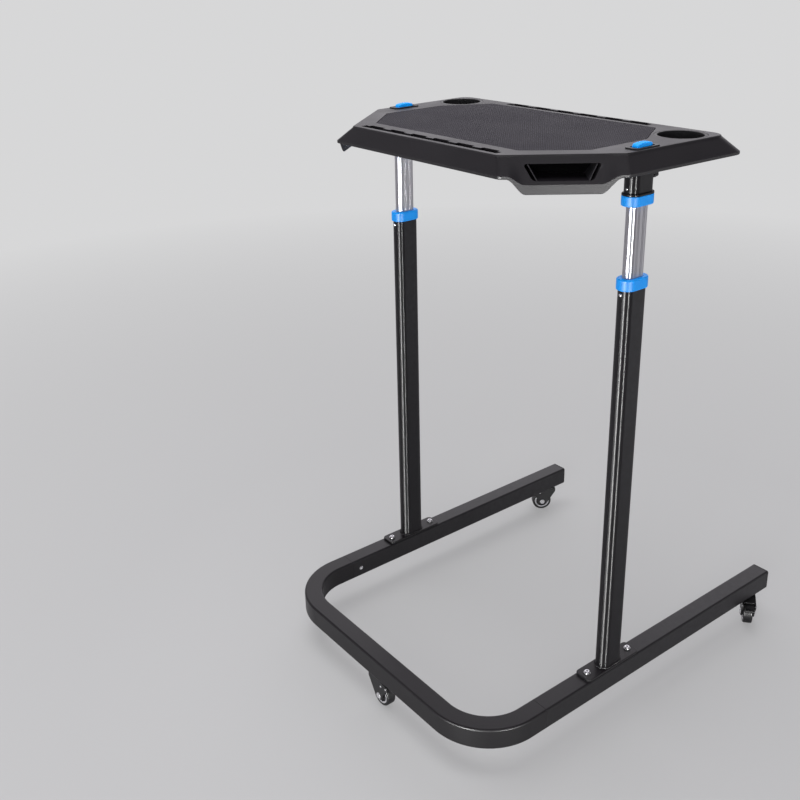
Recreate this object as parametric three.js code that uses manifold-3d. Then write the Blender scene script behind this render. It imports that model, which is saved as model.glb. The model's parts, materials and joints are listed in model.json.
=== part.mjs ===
// Rolling desk for riding on a bike trainer: a U-shaped tube base on three casters, two
// telescopic columns with blue collars, and a moulded desktop with a grip mat, device slots,
// two cup holders, two carry handles and two blue height release levers.
// Millimetres, +Z up. The floor is z = 0. -Y is the closed end of the U, +Y the open end.

import * as THREE from 'three';
import { mergeVertices } from 'three/addons/utils/BufferGeometryUtils.js';
import Module from 'manifold-3d';

const wasm = await Module();
wasm.setup();

// Driving dimensions

const fit = 0.3; // gap between two pieces that are seated on each other
const overrun = 4; // how far a cutting shape reaches past the face that it cuts

const frame = {
  width: 670, length: 880, tubeWidth: 40, tubeHeight: 45, wall: 2, edge: 4,
  bendRadius: 130, jointSetback: 168, spigotLength: 70, spigotWall: 2.5,
  capThickness: 3, capPlug: 16, capWall: 3,
};
const jointScrew = {
  headRadius: 5, headHeight: 2.6, shankRadius: 2.5, shankLength: 9, setback: 22,
};

const foot = { setback: 358, length: 148, width: 38, thickness: 5, corner: 9, boltSpacing: 118 };
const bolt = { headRadius: 7, headHeight: 5, shankRadius: 4, shankLength: 16 };

const column = { length: 56, width: 30, wall: 2 };
const slideTube = { length: 43, width: 21, wall: 2, overlap: 330, topGap: 6, showing: 126 };
const glide = { height: 40, plugHeight: 22, bore: 2.6 };
const lowerCollar = { height: 20, lip: 4, bushHeight: 30 };
const collar = { skirt: 3.4, runningGap: 0.5 };
const upperCollar = { height: 17, lip: 4 };
const sleeve = { length: 68.6, rimHeight: 4, wallGap: 0.5 };
const collarScrew = {
  headRadius: 3.2, headHeight: 1.8, shankRadius: 1.6, shankLength: 1.9, drop: 8,
};

// A reach is measured along Y from the line of the columns, and an inset or overhang along X.
const desk = {
  top: 1143, plate: 4.5, wall: 3, edge: 3, rolledLip: 6,
  nearReach: 211, cornerReach: 53, farReach: 198,
  nearInset: 115, cornerOverhang: 18, farOverhang: 25,
  skirtDrop: 33, handleDrop: 58,
  nearFlare: 20, chamferFlare: 32, sideFlare: 25, farFlare: 20,
  cornerRadius: 12, farRadius: 24,
};
const handleHole = { topWidth: 126, bottomWidth: 96, top: 13, bottom: 37, corner: 9, depth: 32 };
const mat = {
  recess: 2, thickness: 1.7, corner: 8,
  nearReach: 158, shoulderReach: 73, flankReach: 67, farReach: 162,
  nearInset: 121, flankInset: 43, farInset: 101,
};
const slot = {
  endInset: 129, width: 13, depth: 9, trough: 2.5, notchDepth: 6.5, notchCount: 6, notchShare: 0.66,
  nearInset: 17, farInset: 18,
};
const cup = {
  radius: 42, depth: 44, wall: 2, rim: 3.5, rimDepth: 1.6, draft: 2.5, inset: 28, reach: 139,
};

const tray = {
  length: 62, width: 28, rise: 2, corner: 7, bodyLength: 52, bodyWidth: 22, bodyDepth: 15.5,
  wellLength: 44, wellWidth: 16, floor: 2.5, offset: 4, opening: 2.6,
};
const lever = {
  length: 38, width: 14, top: 9, padBottom: 1.5, webThickness: 11, shelfTop: -6, shelfBottom: -9,
  shelfReach: 14, pivotInset: 5, pivotHeight: -4, slotWidth: 4.6, slotMargin: 2.5, round: 3,
};
const pin = { radius: 2, endGap: 0.5 };
const rod = {
  radius: 1.5, headRadius: 4, headGap: 0.5, headRise: 1, footRadius: 4.5, footHeight: 9, footGap: 4.5,
};
const bracket = { length: 98, width: 30, height: 16, floor: 3, pocketWall: 2, hole: 3 };
const knob = {
  radius: 8, length: 12, neck: 5, neckLength: 2, drop: 47, shankRadius: 3, lobes: 6, lobeDepth: 0.9,
};

const caster = {
  height: 68, wheelRadius: 25, wheelWidth: 20, trail: 20, rearSetback: 40,
  flangeRadius: 15, flangeHeight: 3, stemRadius: 5, stemHeight: 26, pivotRadius: 4, pivotReach: 7,
  cheek: 3.5, forkTopHeight: 9, wheelSideGap: 1.2, wheelRunGap: 3, axleBoss: 9,
  hubRadius: 9, hubProud: 0.6, webInset: 3.5, rimWidth: 5, crown: 2,
};
const axle = { radius: 4, headRadius: 6.5, faceRadius: 5.2, headHeight: 2.2 };
const brake = { reach: 20, thickness: 3, width: 19, barrel: 4, trunnion: 2, rise: 3 };

// Places that follow from the sizes above

const frontY = -frame.length / 2;
const rearY = frame.length / 2;
const legX = frame.width / 2 - frame.tubeWidth / 2;
const tubeBottom = caster.height;
const tubeTop = tubeBottom + frame.tubeHeight;
const jointY = frontY + frame.jointSetback;
const columnY = frontY + foot.setback;
const plateTop = tubeTop + fit + foot.thickness;
const bracketTop = desk.top - desk.plate - fit;
const sleeveTop = bracketTop - bracket.height - fit;
const sleeveBottom = sleeveTop - sleeve.length;
const upperCollarBottom = sleeveBottom - fit - upperCollar.lip;
const upperCollarTop = upperCollarBottom + upperCollar.height;
const lowerCollarTop = upperCollarBottom - slideTube.showing;
const lowerCollarBottom = lowerCollarTop - lowerCollar.height;
const slideBottom = lowerCollarTop - slideTube.overlap;
const slideTop = sleeveTop - slideTube.topGap;
const leverY = columnY + tray.offset;
const pivotY = leverY - lever.length / 2 + lever.pivotInset;
const pivotZ = desk.top + lever.pivotHeight;
const sides = [['right', 1], ['left', -1]];

const finishes = {
  frame: { color: 0x262428, roughness: 0.42, metalness: 0.35 },
  cap: { color: 0x18171a, roughness: 0.6, metalness: 0 },
  silver: { color: 0xc9cbd2, roughness: 0.3, metalness: 0.95 },
  blue: { color: 0x1f8fea, roughness: 0.38, metalness: 0 },
  desktop: { color: 0x2d2a30, roughness: 0.62, metalness: 0 },
  mat: { color: 0x3b3740, roughness: 0.85, metalness: 0 },
  dark: { color: 0x131214, roughness: 0.5, metalness: 0 },
  steel: { color: 0xd6d7da, roughness: 0.25, metalness: 0.95 },
  tyre: { color: 0x1b1b1d, roughness: 0.7, metalness: 0 },
};

// Turns a closed three.js geometry into a solid that can be joined and cut.
function solid(geometry) {
  const plain = geometry.clone();
  plain.deleteAttribute('normal');
  plain.deleteAttribute('uv');
  const merged = mergeVertices(plain, fit / 1000);
  const vertProperties = new Float32Array(merged.attributes.position.array);
  const triVerts = new Uint32Array(merged.index.array);
  return new wasm.Manifold(new wasm.Mesh({ numProp: 3, vertProperties, triVerts }));
}

// Turns a solid back into a three.js geometry.
function geometryOf(body) {
  const mesh = body.getMesh();
  const geometry = new THREE.BufferGeometry();
  geometry.setAttribute('position', new THREE.BufferAttribute(new Float32Array(mesh.vertProperties), 3));
  geometry.setIndex(new THREE.BufferAttribute(new Uint32Array(mesh.triVerts), 1));
  geometry.computeVertexNormals();
  return geometry;
}

// First solid less all the others.
function cut(body, ...tools) {
  return tools.reduce((rest, tool) => rest.subtract(tool), body);
}

// Rectangle with round corners, centred on the origin.
function roundedRect(width, height, radius) {
  const x = width / 2;
  const y = height / 2;
  const shape = new THREE.Shape();
  shape.moveTo(-x + radius, -y);
  shape.lineTo(x - radius, -y);
  shape.absarc(x - radius, -y + radius, radius, -Math.PI / 2, 0);
  shape.lineTo(x, y - radius);
  shape.absarc(x - radius, y - radius, radius, 0, Math.PI / 2);
  shape.lineTo(-x + radius, y);
  shape.absarc(-x + radius, y - radius, radius, Math.PI / 2, Math.PI);
  shape.lineTo(-x, -y + radius);
  shape.absarc(-x + radius, -y + radius, radius, Math.PI, Math.PI * 1.5);
  return shape;
}

// Flat oval: two half circles joined by straight sides, its long axis along Y.
function flatOval(length, width) {
  const radius = width / 2;
  const straight = length / 2 - radius;
  const shape = new THREE.Shape();
  shape.moveTo(radius, -straight);
  shape.lineTo(radius, straight);
  shape.absarc(0, straight, radius, 0, Math.PI);
  shape.lineTo(-radius, -straight);
  shape.absarc(0, -straight, radius, Math.PI, Math.PI * 2);
  return shape;
}

// A shape in plan, drawn up from one height to another.
function prism(shape, low, high, segments = 5) {
  const geometry = new THREE.ExtrudeGeometry(shape, {
    depth: high - low, bevelEnabled: false, curveSegments: segments,
  });
  return solid(geometry.translate(0, 0, low));
}

// A section in X and Z, drawn along Y from one place to another.
function alongY(shape, from, to, segments = 2) {
  const geometry = new THREE.ExtrudeGeometry(shape, {
    depth: to - from, bevelEnabled: false, curveSegments: segments,
  });
  return solid(geometry.rotateX(Math.PI / 2).translate(0, to, 0));
}

// A side profile in Y and Z, drawn along X and centred there.
function alongX(shape, width, segments = 5) {
  const geometry = new THREE.ExtrudeGeometry(shape, {
    depth: width, bevelEnabled: false, curveSegments: segments,
  });
  geometry.translate(0, 0, -width / 2);
  return solid(geometry.rotateY(Math.PI / 2).rotateX(Math.PI / 2));
}

function box(width, length, height, x, y, z) {
  return solid(new THREE.BoxGeometry(width, length, height).translate(x, y, z));
}

// Cylinder along Z between two heights.
function post(radius, low, high, segments = 12) {
  const geometry = new THREE.CylinderGeometry(radius, radius, high - low, segments);
  return solid(geometry.rotateX(Math.PI / 2).translate(0, 0, (low + high) / 2));
}

// A turned piece about Z. The profile runs from its foot up to its head as [radius, height].
function turned(profile, segments = 20) {
  const points = profile.map(([radius, height]) => new THREE.Vector2(radius, height));
  return solid(new THREE.LatheGeometry(points, segments).rotateX(Math.PI / 2));
}

// Button-headed screw whose head rests on z = 0 and whose shank hangs below. The head's crown
// is given as shares of its radius and height.
const crownShares = [[1, 0.35], [0.8, 0.85], [0.4, 1], [0, 1]];

function headedScrew({ headRadius, headHeight, shankRadius, shankLength }, segments = 12) {
  const crown = crownShares.map(([across, up]) => [headRadius * across, headHeight * up]);
  return turned([
    [0, -shankLength], [shankRadius, -shankLength], [shankRadius, 0], [headRadius, 0], ...crown,
  ], segments);
}

const group = new THREE.Group();

function add(name, body, finish) {
  const mesh = new THREE.Mesh(geometryOf(body), new THREE.MeshStandardMaterial(finishes[finish]));
  mesh.name = name;
  group.add(mesh);
  return mesh;
}

// Base: the bent front tube

// Plan outline of the bent tube, or of its bore when inset by the wall.
function frontBand(inset, endY) {
  const half = frame.width / 2 - inset;
  const inner = frame.width / 2 - frame.tubeWidth + inset;
  const centreX = frame.width / 2 - frame.bendRadius;
  const centreY = frontY + frame.bendRadius;
  const outerRadius = frame.bendRadius - inset;
  const innerRadius = frame.bendRadius - frame.tubeWidth + inset;
  const shape = new THREE.Shape();
  shape.moveTo(half, endY);
  shape.lineTo(half, centreY);
  shape.absarc(centreX, centreY, outerRadius, 0, -Math.PI / 2, true);
  shape.absarc(-centreX, centreY, outerRadius, -Math.PI / 2, -Math.PI, true);
  shape.lineTo(-half, endY);
  shape.lineTo(-inner, endY);
  shape.absarc(-centreX, centreY, innerRadius, -Math.PI, -Math.PI / 2, false);
  shape.absarc(centreX, centreY, innerRadius, -Math.PI / 2, 0, false);
  shape.lineTo(inner, endY);
  return shape;
}

function casterHole(x, y) {
  const bottom = tubeBottom - overrun;
  return post(caster.stemRadius + fit, bottom, tubeBottom + frame.wall + overrun).translate([x, y, 0]);
}

function frontFrame() {
  const endY = jointY - fit / 2;
  const longY = endY + frame.edge + overrun;
  const skin = new THREE.ExtrudeGeometry(frontBand(0, longY), {
    depth: frame.tubeHeight - 2 * frame.edge, curveSegments: 7,
    bevelEnabled: true, bevelThickness: frame.edge, bevelSize: frame.edge,
    bevelOffset: -frame.edge, bevelSegments: 2,
  });
  skin.translate(0, 0, tubeBottom + frame.edge);
  const bore = prism(
    frontBand(frame.wall, longY + overrun), tubeBottom + frame.wall, tubeTop - frame.wall, 7,
  );
  const trimDepth = longY - endY + 2 * overrun;
  const trim = box(frame.width * 2, trimDepth, frame.tubeHeight * 2, 0, endY + trimDepth / 2, tubeBottom);
  return cut(solid(skin), bore, trim, casterHole(0, frontY + frame.tubeWidth / 2));
}

add('front_frame', frontFrame(), 'frame');

// Base: straight legs, their spigots, caps and screws

function tubeSection(inset, wall) {
  const width = frame.tubeWidth - 2 * inset;
  const height = frame.tubeHeight - 2 * inset;
  const corner = Math.max(frame.edge - inset, frame.edge / 4);
  const section = roundedRect(width, height, corner);
  const hole = roundedRect(width - 2 * wall, height - 2 * wall, Math.max(corner - wall, frame.edge / 4));
  section.holes.push(hole);
  return section;
}

const tubeMiddle = (tubeBottom + tubeTop) / 2;
const screwY = jointY + jointScrew.setback;

// Cylinder along X through a side wall of a leg.
function sideBore(radius, length, x, y, z) {
  const geometry = new THREE.CylinderGeometry(radius, radius, length, 10);
  return solid(geometry.rotateZ(Math.PI / 2).translate(x, y, z));
}

for (const [side, sign] of sides) {
  const x = sign * legX;
  const innerFace = sign * (legX - frame.tubeWidth / 2);
  const screwBore = sideBore(
    jointScrew.shankRadius + fit, 2 * jointScrew.shankLength, innerFace, screwY, tubeMiddle,
  );
  const boltBore = [-1, 1].map((end) => post(
    bolt.shankRadius + fit, tubeTop - frame.wall - overrun, tubeTop + overrun,
  ).translate([x, columnY + end * foot.boltSpacing / 2, 0]));
  const leg = alongY(tubeSection(0, frame.wall), jointY + fit / 2, rearY - frame.capThickness - fit)
    .translate([x, 0, tubeMiddle]);
  const stemBore = casterHole(x, rearY - caster.rearSetback);
  add(`leg_tube_${side}`, cut(leg, screwBore, ...boltBore, stemBore), 'frame');

  const spigotHalf = frame.spigotLength / 2;
  const spigot = alongY(
    tubeSection(frame.wall + fit, frame.spigotWall), jointY - spigotHalf, jointY + spigotHalf,
  ).translate([x, 0, tubeMiddle]);
  add(`leg_spigot_${side}`, cut(spigot, screwBore), 'frame');

  const screw = headedScrew(jointScrew).rotate([0, -sign * 90, 0])
    .translate([innerFace - sign * fit, screwY, tubeMiddle]);
  add(`leg_screw_${side}`, screw, 'steel');

  const capPlate = alongY(
    roundedRect(frame.tubeWidth, frame.tubeHeight, frame.edge), rearY - frame.capThickness, rearY,
  );
  const plugStart = rearY - frame.capThickness - frame.capPlug;
  const capPlug = alongY(
    tubeSection(frame.wall + fit, frame.capWall), plugStart, rearY - frame.capThickness / 2,
  );
  add(`leg_cap_${side}`, capPlate.add(capPlug).translate([x, 0, tubeMiddle]), 'cap');
}

// Base: foot plates, bolts and lower columns

for (const [side, sign] of sides) {
  const x = sign * legX;
  const plate = prism(roundedRect(foot.width, foot.length, foot.corner), tubeTop + fit, plateTop, 2);
  const holes = [-1, 1].map((end) => post(
    bolt.shankRadius + fit, tubeTop - overrun, plateTop + overrun,
  ).translate([0, end * foot.boltSpacing / 2, 0]));
  add(`foot_plate_${side}`, cut(plate, ...holes).translate([x, columnY, 0]), 'frame');

  for (const [place, end] of [['front', -1], ['rear', 1]]) {
    const boltY = columnY + end * foot.boltSpacing / 2;
    add(`foot_bolt_${side}_${place}`, headedScrew(bolt).translate([x, boltY, plateTop + fit]), 'steel');
  }

  const columnTop = lowerCollarTop - lowerCollar.lip - fit;
  const outline = flatOval(column.length, column.width);
  outline.holes.push(flatOval(column.length - 2 * column.wall, column.width - 2 * column.wall));
  const screwZ = lowerCollarBottom - collarScrew.drop;
  const screwBore = post(collarScrew.shankRadius + fit, -overrun, column.wall + overrun, 10)
    .rotate([-90, 0, 0]).translate([0, -column.length / 2, screwZ]);
  const tube = cut(prism(outline, plateTop + fit, columnTop), screwBore);
  add(`lower_column_${side}`, tube.translate([x, columnY, 0]), 'frame');

  const screw = headedScrew(collarScrew, 8).rotate([90, 0, 0])
    .translate([x, columnY - column.length / 2 - fit, screwZ]);
  add(`collar_screw_${side}`, screw, 'steel');
}

// Collars: a cap round the column, with a bush down inside it that guides the sliding tube

function lowerCollarBody() {
  const outside = prism(
    flatOval(column.length + 2 * collar.skirt, column.width + 2 * collar.skirt),
    lowerCollarBottom, lowerCollarTop,
  );
  const seat = prism(
    flatOval(column.length + 2 * fit, column.width + 2 * fit),
    lowerCollarBottom - overrun, lowerCollarTop - lowerCollar.lip,
  );
  const bushGap = column.wall + fit;
  const bush = prism(
    flatOval(column.length - 2 * bushGap, column.width - 2 * bushGap),
    lowerCollarTop - lowerCollar.lip - lowerCollar.bushHeight, lowerCollarTop - lowerCollar.lip / 2,
  );
  const gap = collar.runningGap;
  const bore = prism(
    flatOval(slideTube.length + 2 * gap, slideTube.width + 2 * gap),
    lowerCollarBottom - lowerCollar.bushHeight - overrun, lowerCollarTop + overrun,
  );
  return cut(outside.subtract(seat).add(bush), bore);
}

for (const [side, sign] of sides) {
  add(`lower_collar_${side}`, lowerCollarBody().translate([sign * legX, columnY, 0]), 'blue');
}

// Sliding tubes and their glides

for (const [side, sign] of sides) {
  const x = sign * legX;
  const outline = flatOval(slideTube.length, slideTube.width);
  const bore = flatOval(slideTube.length - 2 * slideTube.wall, slideTube.width - 2 * slideTube.wall);
  outline.holes.push(bore);
  add(`slide_tube_${side}`, prism(outline, slideBottom, slideTop).translate([x, columnY, 0]), 'silver');

  const gap = column.wall + collar.runningGap;
  const block = prism(
    flatOval(column.length - 2 * gap, column.width - 2 * gap),
    slideBottom - fit - glide.height, slideBottom - fit,
  );
  const inset = slideTube.wall + fit;
  const plug = prism(
    flatOval(slideTube.length - 2 * inset, slideTube.width - 2 * inset),
    slideBottom - fit - glide.height / 2, slideBottom + glide.plugHeight,
  );
  const rodBore = post(
    glide.bore, slideBottom - glide.height - overrun, slideBottom + glide.plugHeight + overrun,
  );
  add(`tube_glide_${side}`, cut(block.add(plug), rodBore).translate([x, columnY, 0]), 'cap');
}

// Desk sockets: a sleeve under the desktop, its blue collar, its bracket and its clamp knob

const sleeveBore = {
  length: slideTube.length + 2 * sleeve.wallGap, width: slideTube.width + 2 * sleeve.wallGap,
};
const knobZ = desk.top - knob.drop;

function sleeveBody() {
  const barrel = prism(
    flatOval(column.length, column.width), sleeveBottom, sleeveTop,
  );
  const rim = prism(
    flatOval(column.length + 2 * collar.skirt, column.width + 2 * collar.skirt),
    upperCollarTop + fit, upperCollarTop + fit + sleeve.rimHeight,
  );
  const bore = prism(
    flatOval(sleeveBore.length, sleeveBore.width), upperCollarBottom - overrun, sleeveTop + overrun,
  );
  const knobBore = post(knob.shankRadius + fit, 0, column.length)
    .rotate([-90, 0, 0]).translate([0, 0, knobZ]);
  return cut(barrel.add(rim), bore, knobBore);
}

function upperCollarBody() {
  const outside = prism(
    flatOval(column.length + 2 * collar.skirt, column.width + 2 * collar.skirt),
    upperCollarBottom, upperCollarTop,
  );
  const seat = prism(
    flatOval(column.length + 2 * fit, column.width + 2 * fit),
    upperCollarBottom + upperCollar.lip, upperCollarTop + overrun,
  );
  const gap = collar.runningGap;
  const bore = prism(
    flatOval(slideTube.length + 2 * gap, slideTube.width + 2 * gap),
    upperCollarBottom - overrun, upperCollarTop + overrun,
  );
  return cut(outside, seat, bore);
}

// Block under the desktop that carries the sleeve, hollowed where the lever's tray hangs in it.
function bracketBody() {
  const low = bracketTop - bracket.height;
  const block = prism(roundedRect(bracket.width, bracket.length, bracket.floor), low, bracketTop, 3);
  const pocket = box(
    bracket.width - 2 * bracket.pocketWall, tray.bodyLength + 2 * tray.opening,
    bracket.height, 0, tray.offset, low + bracket.floor + bracket.height / 2,
  );
  return cut(block, pocket, post(bracket.hole, low - overrun, bracketTop + overrun));
}

// Round grip with shallow scallops, on a screw that runs in to the sliding tube.
function knobBody() {
  const tip = slideTube.length / 2 + fit;
  const face = column.length / 2 + fit;
  const gripStart = face + knob.neckLength;
  const end = gripStart + knob.length;
  const core = turned([
    [0, tip], [knob.shankRadius, tip], [knob.shankRadius, face], [knob.neck, face], [knob.neck, gripStart],
    [knob.radius, gripStart], [knob.radius, end - knob.lobeDepth],
    [knob.radius - knob.lobeDepth, end], [0, end],
  ], 16);
  const scallops = [];
  for (let i = 0; i < knob.lobes; i += 1) {
    const turn = (i / knob.lobes) * Math.PI * 2;
    const away = knob.radius + knob.lobeDepth;
    scallops.push(post(2 * knob.lobeDepth, gripStart - knob.lobeDepth / 2, end + overrun, 6)
      .translate([away * Math.cos(turn), away * Math.sin(turn), 0]));
  }
  return cut(core, ...scallops).rotate([-90, 0, 0]);
}

for (const [side, sign] of sides) {
  const place = [sign * legX, columnY, 0];
  add(`socket_sleeve_${side}`, sleeveBody().translate(place), 'frame');
  add(`upper_collar_${side}`, upperCollarBody().translate(place), 'blue');
  add(`column_bracket_${side}`, bracketBody().translate(place), 'frame');
  add(`clamp_knob_${side}`, knobBody().translate([sign * legX, columnY, knobZ]), 'dark');
}

// Desktop: a moulded shell lofted from rings that follow a six-sided outline

const nearY = columnY - desk.nearReach;
const cornerY = columnY - desk.cornerReach;
const farY = columnY + desk.farReach;
const nearHalf = legX - desk.nearInset;
const cornerHalf = legX + desk.cornerOverhang;
const farHalf = legX + desk.farOverhang;
const deskCorners = [
  [-nearHalf, nearY], [nearHalf, nearY], [cornerHalf, cornerY],
  [farHalf, farY], [-farHalf, farY], [-cornerHalf, cornerY],
].map(([x, y]) => new THREE.Vector2(x, y));
const cornerRadii = [
  desk.cornerRadius, desk.cornerRadius, desk.cornerRadius, desk.farRadius, desk.farRadius, desk.cornerRadius,
];
const flares = [
  desk.nearFlare, desk.chamferFlare, desk.sideFlare, desk.farFlare, desk.sideFlare, desk.chamferFlare,
];
const arcSteps = 4;

// Corners of a polygon whose sides have moved outwards, each by its own distance.
function movedCorners(corners, distances) {
  const count = corners.length;
  const lines = corners.map((point, i) => {
    const way = corners[(i + 1) % count].clone().sub(point).normalize();
    const normal = new THREE.Vector2(way.y, -way.x);
    return { point: point.clone().addScaledVector(normal, distances[i]), way };
  });
  return corners.map((_, i) => {
    const before = lines[(i + count - 1) % count];
    const after = lines[i];
    const gap = after.point.clone().sub(before.point);
    const along = gap.cross(after.way) / before.way.cross(after.way);
    return before.point.clone().addScaledVector(before.way, along);
  });
}

// Shares of a handle side at which the skirt's depth changes, and how much of the extra depth
// the skirt has there.
const lobeShares = [
  [0.03, 0], [0.08, 0.3], [0.13, 0.75], [0.18, 0.97], [0.24, 1], [0.76, 1],
  [0.82, 0.95], [0.87, 0.7], [0.92, 0.3], [0.97, 0],
];

// One ring of the shell. Every ring has the same stations, so two rings make a wall.
function ring(spread, heightAt) {
  const corners = movedCorners(deskCorners, flares.map(spread));
  const count = corners.length;
  const ends = corners.map((corner, i) => {
    const before = corner.clone().sub(corners[(i + count - 1) % count]).normalize();
    const after = corners[(i + 1) % count].clone().sub(corner).normalize();
    const turn = Math.acos(before.dot(after));
    const trim = cornerRadii[i] * Math.tan(turn / 2);
    return { start: corner.clone().addScaledVector(before, -trim), corner,
      end: corner.clone().addScaledVector(after, trim), before, turn, radius: cornerRadii[i] };
  });
  const points = [];
  ends.forEach((bend, i) => {
    const inward = new THREE.Vector2(-bend.before.y, bend.before.x);
    const centre = bend.start.clone().addScaledVector(inward, bend.radius);
    for (let k = 0; k <= arcSteps; k += 1) {
      const angle = (bend.turn * k) / arcSteps;
      const spoke = inward.clone().negate().rotateAround(new THREE.Vector2(), angle);
      const place = centre.clone().addScaledVector(spoke, bend.radius);
      points.push(new THREE.Vector3(place.x, place.y, heightAt(0)));
    }
    const handle = i === 1 || i === 5;
    if (!handle) return;
    const next = ends[(i + 1) % count];
    const mirrored = lobeShares.map(([share, depth]) => [1 - share, depth]).reverse();
    for (const [share, depth] of (i === 1 ? lobeShares : mirrored)) {
      const place = bend.end.clone().lerp(next.start, share);
      points.push(new THREE.Vector3(place.x, place.y, heightAt(depth)));
    }
  });
  return points;
}

// Closed skin through a list of rings, with a flat fan over the first and the last.
function loft(rings) {
  const positions = [];
  const index = [];
  const count = rings[0].length;
  rings.forEach((points) => points.forEach((p) => positions.push(p.x, p.y, p.z)));
  for (let r = 0; r + 1 < rings.length; r += 1) {
    for (let k = 0; k < count; k += 1) {
      const a = r * count + k;
      const b = r * count + ((k + 1) % count);
      index.push(a, a + count, b, b, a + count, b + count);
    }
  }
  const fan = (start, z, flip) => {
    const hub = positions.length / 3;
    positions.push(0, (nearY + farY) / 2, z);
    for (let k = 0; k < count; k += 1) {
      const a = start + k;
      const b = start + ((k + 1) % count);
      index.push(...(flip ? [hub, b, a] : [hub, a, b]));
    }
  };
  fan(0, rings[0][0].z, false);
  fan((rings.length - 1) * count, rings[rings.length - 1][0].z, true);
  const geometry = new THREE.BufferGeometry();
  geometry.setAttribute('position', new THREE.Float32BufferAttribute(positions, 3));
  geometry.setIndex(index);
  return geometry;
}

function dropAt(depth) {
  return desk.skirtDrop + (desk.handleDrop - desk.skirtDrop) * depth;
}

function deskSkin() {
  const top = desk.top;
  const softStep = desk.edge * (1 - Math.SQRT1_2);
  const wall = desk.wall;
  const rings = [
    ring(() => -desk.edge, () => top),
    ring(() => -softStep, () => top - softStep),
    ring(() => 0, () => top - desk.edge),
    ring((flare) => flare, (depth) => top - dropAt(depth) + desk.rolledLip),
    ring((flare) => flare, (depth) => top - dropAt(depth)),
    ring((flare) => flare - wall, (depth) => top - dropAt(depth)),
    ring((flare) => flare - wall, (depth) => top - dropAt(depth) + desk.rolledLip),
    ring(() => -wall, () => top - desk.plate),
  ];
  return solid(loft(rings));
}

// Stands a shape drawn in the plane of a handle's chamfer, drawn out by a length, in its place:
// x runs along the chamfer, y up from the desktop, and z outwards.
function atChamfer(geometry, sign, quarterTurn = 0) {
  const near = new THREE.Vector2(nearHalf, nearY);
  const far = new THREE.Vector2(cornerHalf, cornerY);
  const middle = near.clone().add(far).divideScalar(2);
  const way = far.clone().sub(near);
  geometry.rotateX(Math.PI / 2).rotateZ(Math.atan2(way.y, way.x) - quarterTurn);
  const placed = solid(geometry.translate(middle.x, middle.y, desk.top));
  return sign > 0 ? placed : placed.mirror([1, 0, 0]);
}

// Block behind a handle opening, from inside the skirt's wall inwards. The pocket is cut in it.
function pocketBlock(sign) {
  const skin = (down) => {
    const share = (down - desk.edge) / (desk.handleDrop - desk.rolledLip - desk.edge);
    return desk.chamferFlare * share - desk.wall / 2;
  };
  const back = -(handleHole.depth + desk.wall);
  const bottom = handleHole.bottom + desk.wall;
  const shape = new THREE.Shape();
  shape.moveTo(back, -desk.plate / 2);
  shape.lineTo(back, -bottom);
  shape.lineTo(skin(bottom), -bottom);
  shape.lineTo(skin(desk.edge), -desk.edge);
  const length = handleHole.topWidth + 2 * desk.wall;
  const geometry = new THREE.ExtrudeGeometry(shape, { depth: length, bevelEnabled: false });
  return atChamfer(geometry.translate(0, 0, -length / 2), sign, Math.PI / 2);
}

// Handle opening: a trapezoid with round lower corners, cut square through the chamfer's skirt
// and on into the block behind it.
function handleCut(sign) {
  const { topWidth, bottomWidth, top, bottom, corner } = handleHole;
  const shape = new THREE.Shape();
  const lean = (topWidth - bottomWidth) / (2 * (bottom - top));
  shape.moveTo(-topWidth / 2, -top);
  shape.lineTo(-bottomWidth / 2 - corner * lean, -bottom + corner);
  shape.quadraticCurveTo(-bottomWidth / 2, -bottom, -bottomWidth / 2 + corner, -bottom);
  shape.lineTo(bottomWidth / 2 - corner, -bottom);
  shape.quadraticCurveTo(bottomWidth / 2, -bottom, bottomWidth / 2 + corner * lean, -bottom + corner);
  shape.lineTo(topWidth / 2, -top);
  const geometry = new THREE.ExtrudeGeometry(shape, {
    depth: handleHole.depth + desk.chamferFlare + overrun, bevelEnabled: false, curveSegments: 5,
  });
  return atChamfer(geometry.translate(0, 0, -handleHole.depth), sign);
}

const grooveHalf = legX - slot.endInset;

// A device slot: a long groove with square notches along its far side.
function slotCut(y) {
  const length = 2 * grooveHalf;
  const height = slot.depth + overrun;
  const z = desk.top - slot.depth + height / 2;
  let tool = box(length, slot.width, height, 0, y, z);
  const pitch = length / slot.notchCount;
  for (let i = 0; i < slot.notchCount; i += 1) {
    const x = -grooveHalf + (i + 1 / 2) * pitch;
    const notchY = y + slot.width / 2 + slot.notchDepth / 2 - fit;
    tool = tool.add(box(pitch * slot.notchShare, slot.notchDepth + 2 * fit, height, x, notchY, z));
  }
  return tool;
}

function slotTrough(y) {
  const length = 2 * (grooveHalf + slot.trough);
  const width = slot.width + slot.notchDepth + 2 * slot.trough;
  const bottom = desk.top - slot.depth - slot.trough;
  const height = desk.top - desk.plate / 2 - bottom;
  return box(length, width, height, 0, y + slot.notchDepth / 2, bottom + height / 2);
}

const nearSlotY = nearY + slot.nearInset;
const farSlotY = farY - slot.farInset;
const cupPlace = [legX - cup.inset, columnY + cup.reach];

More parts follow.
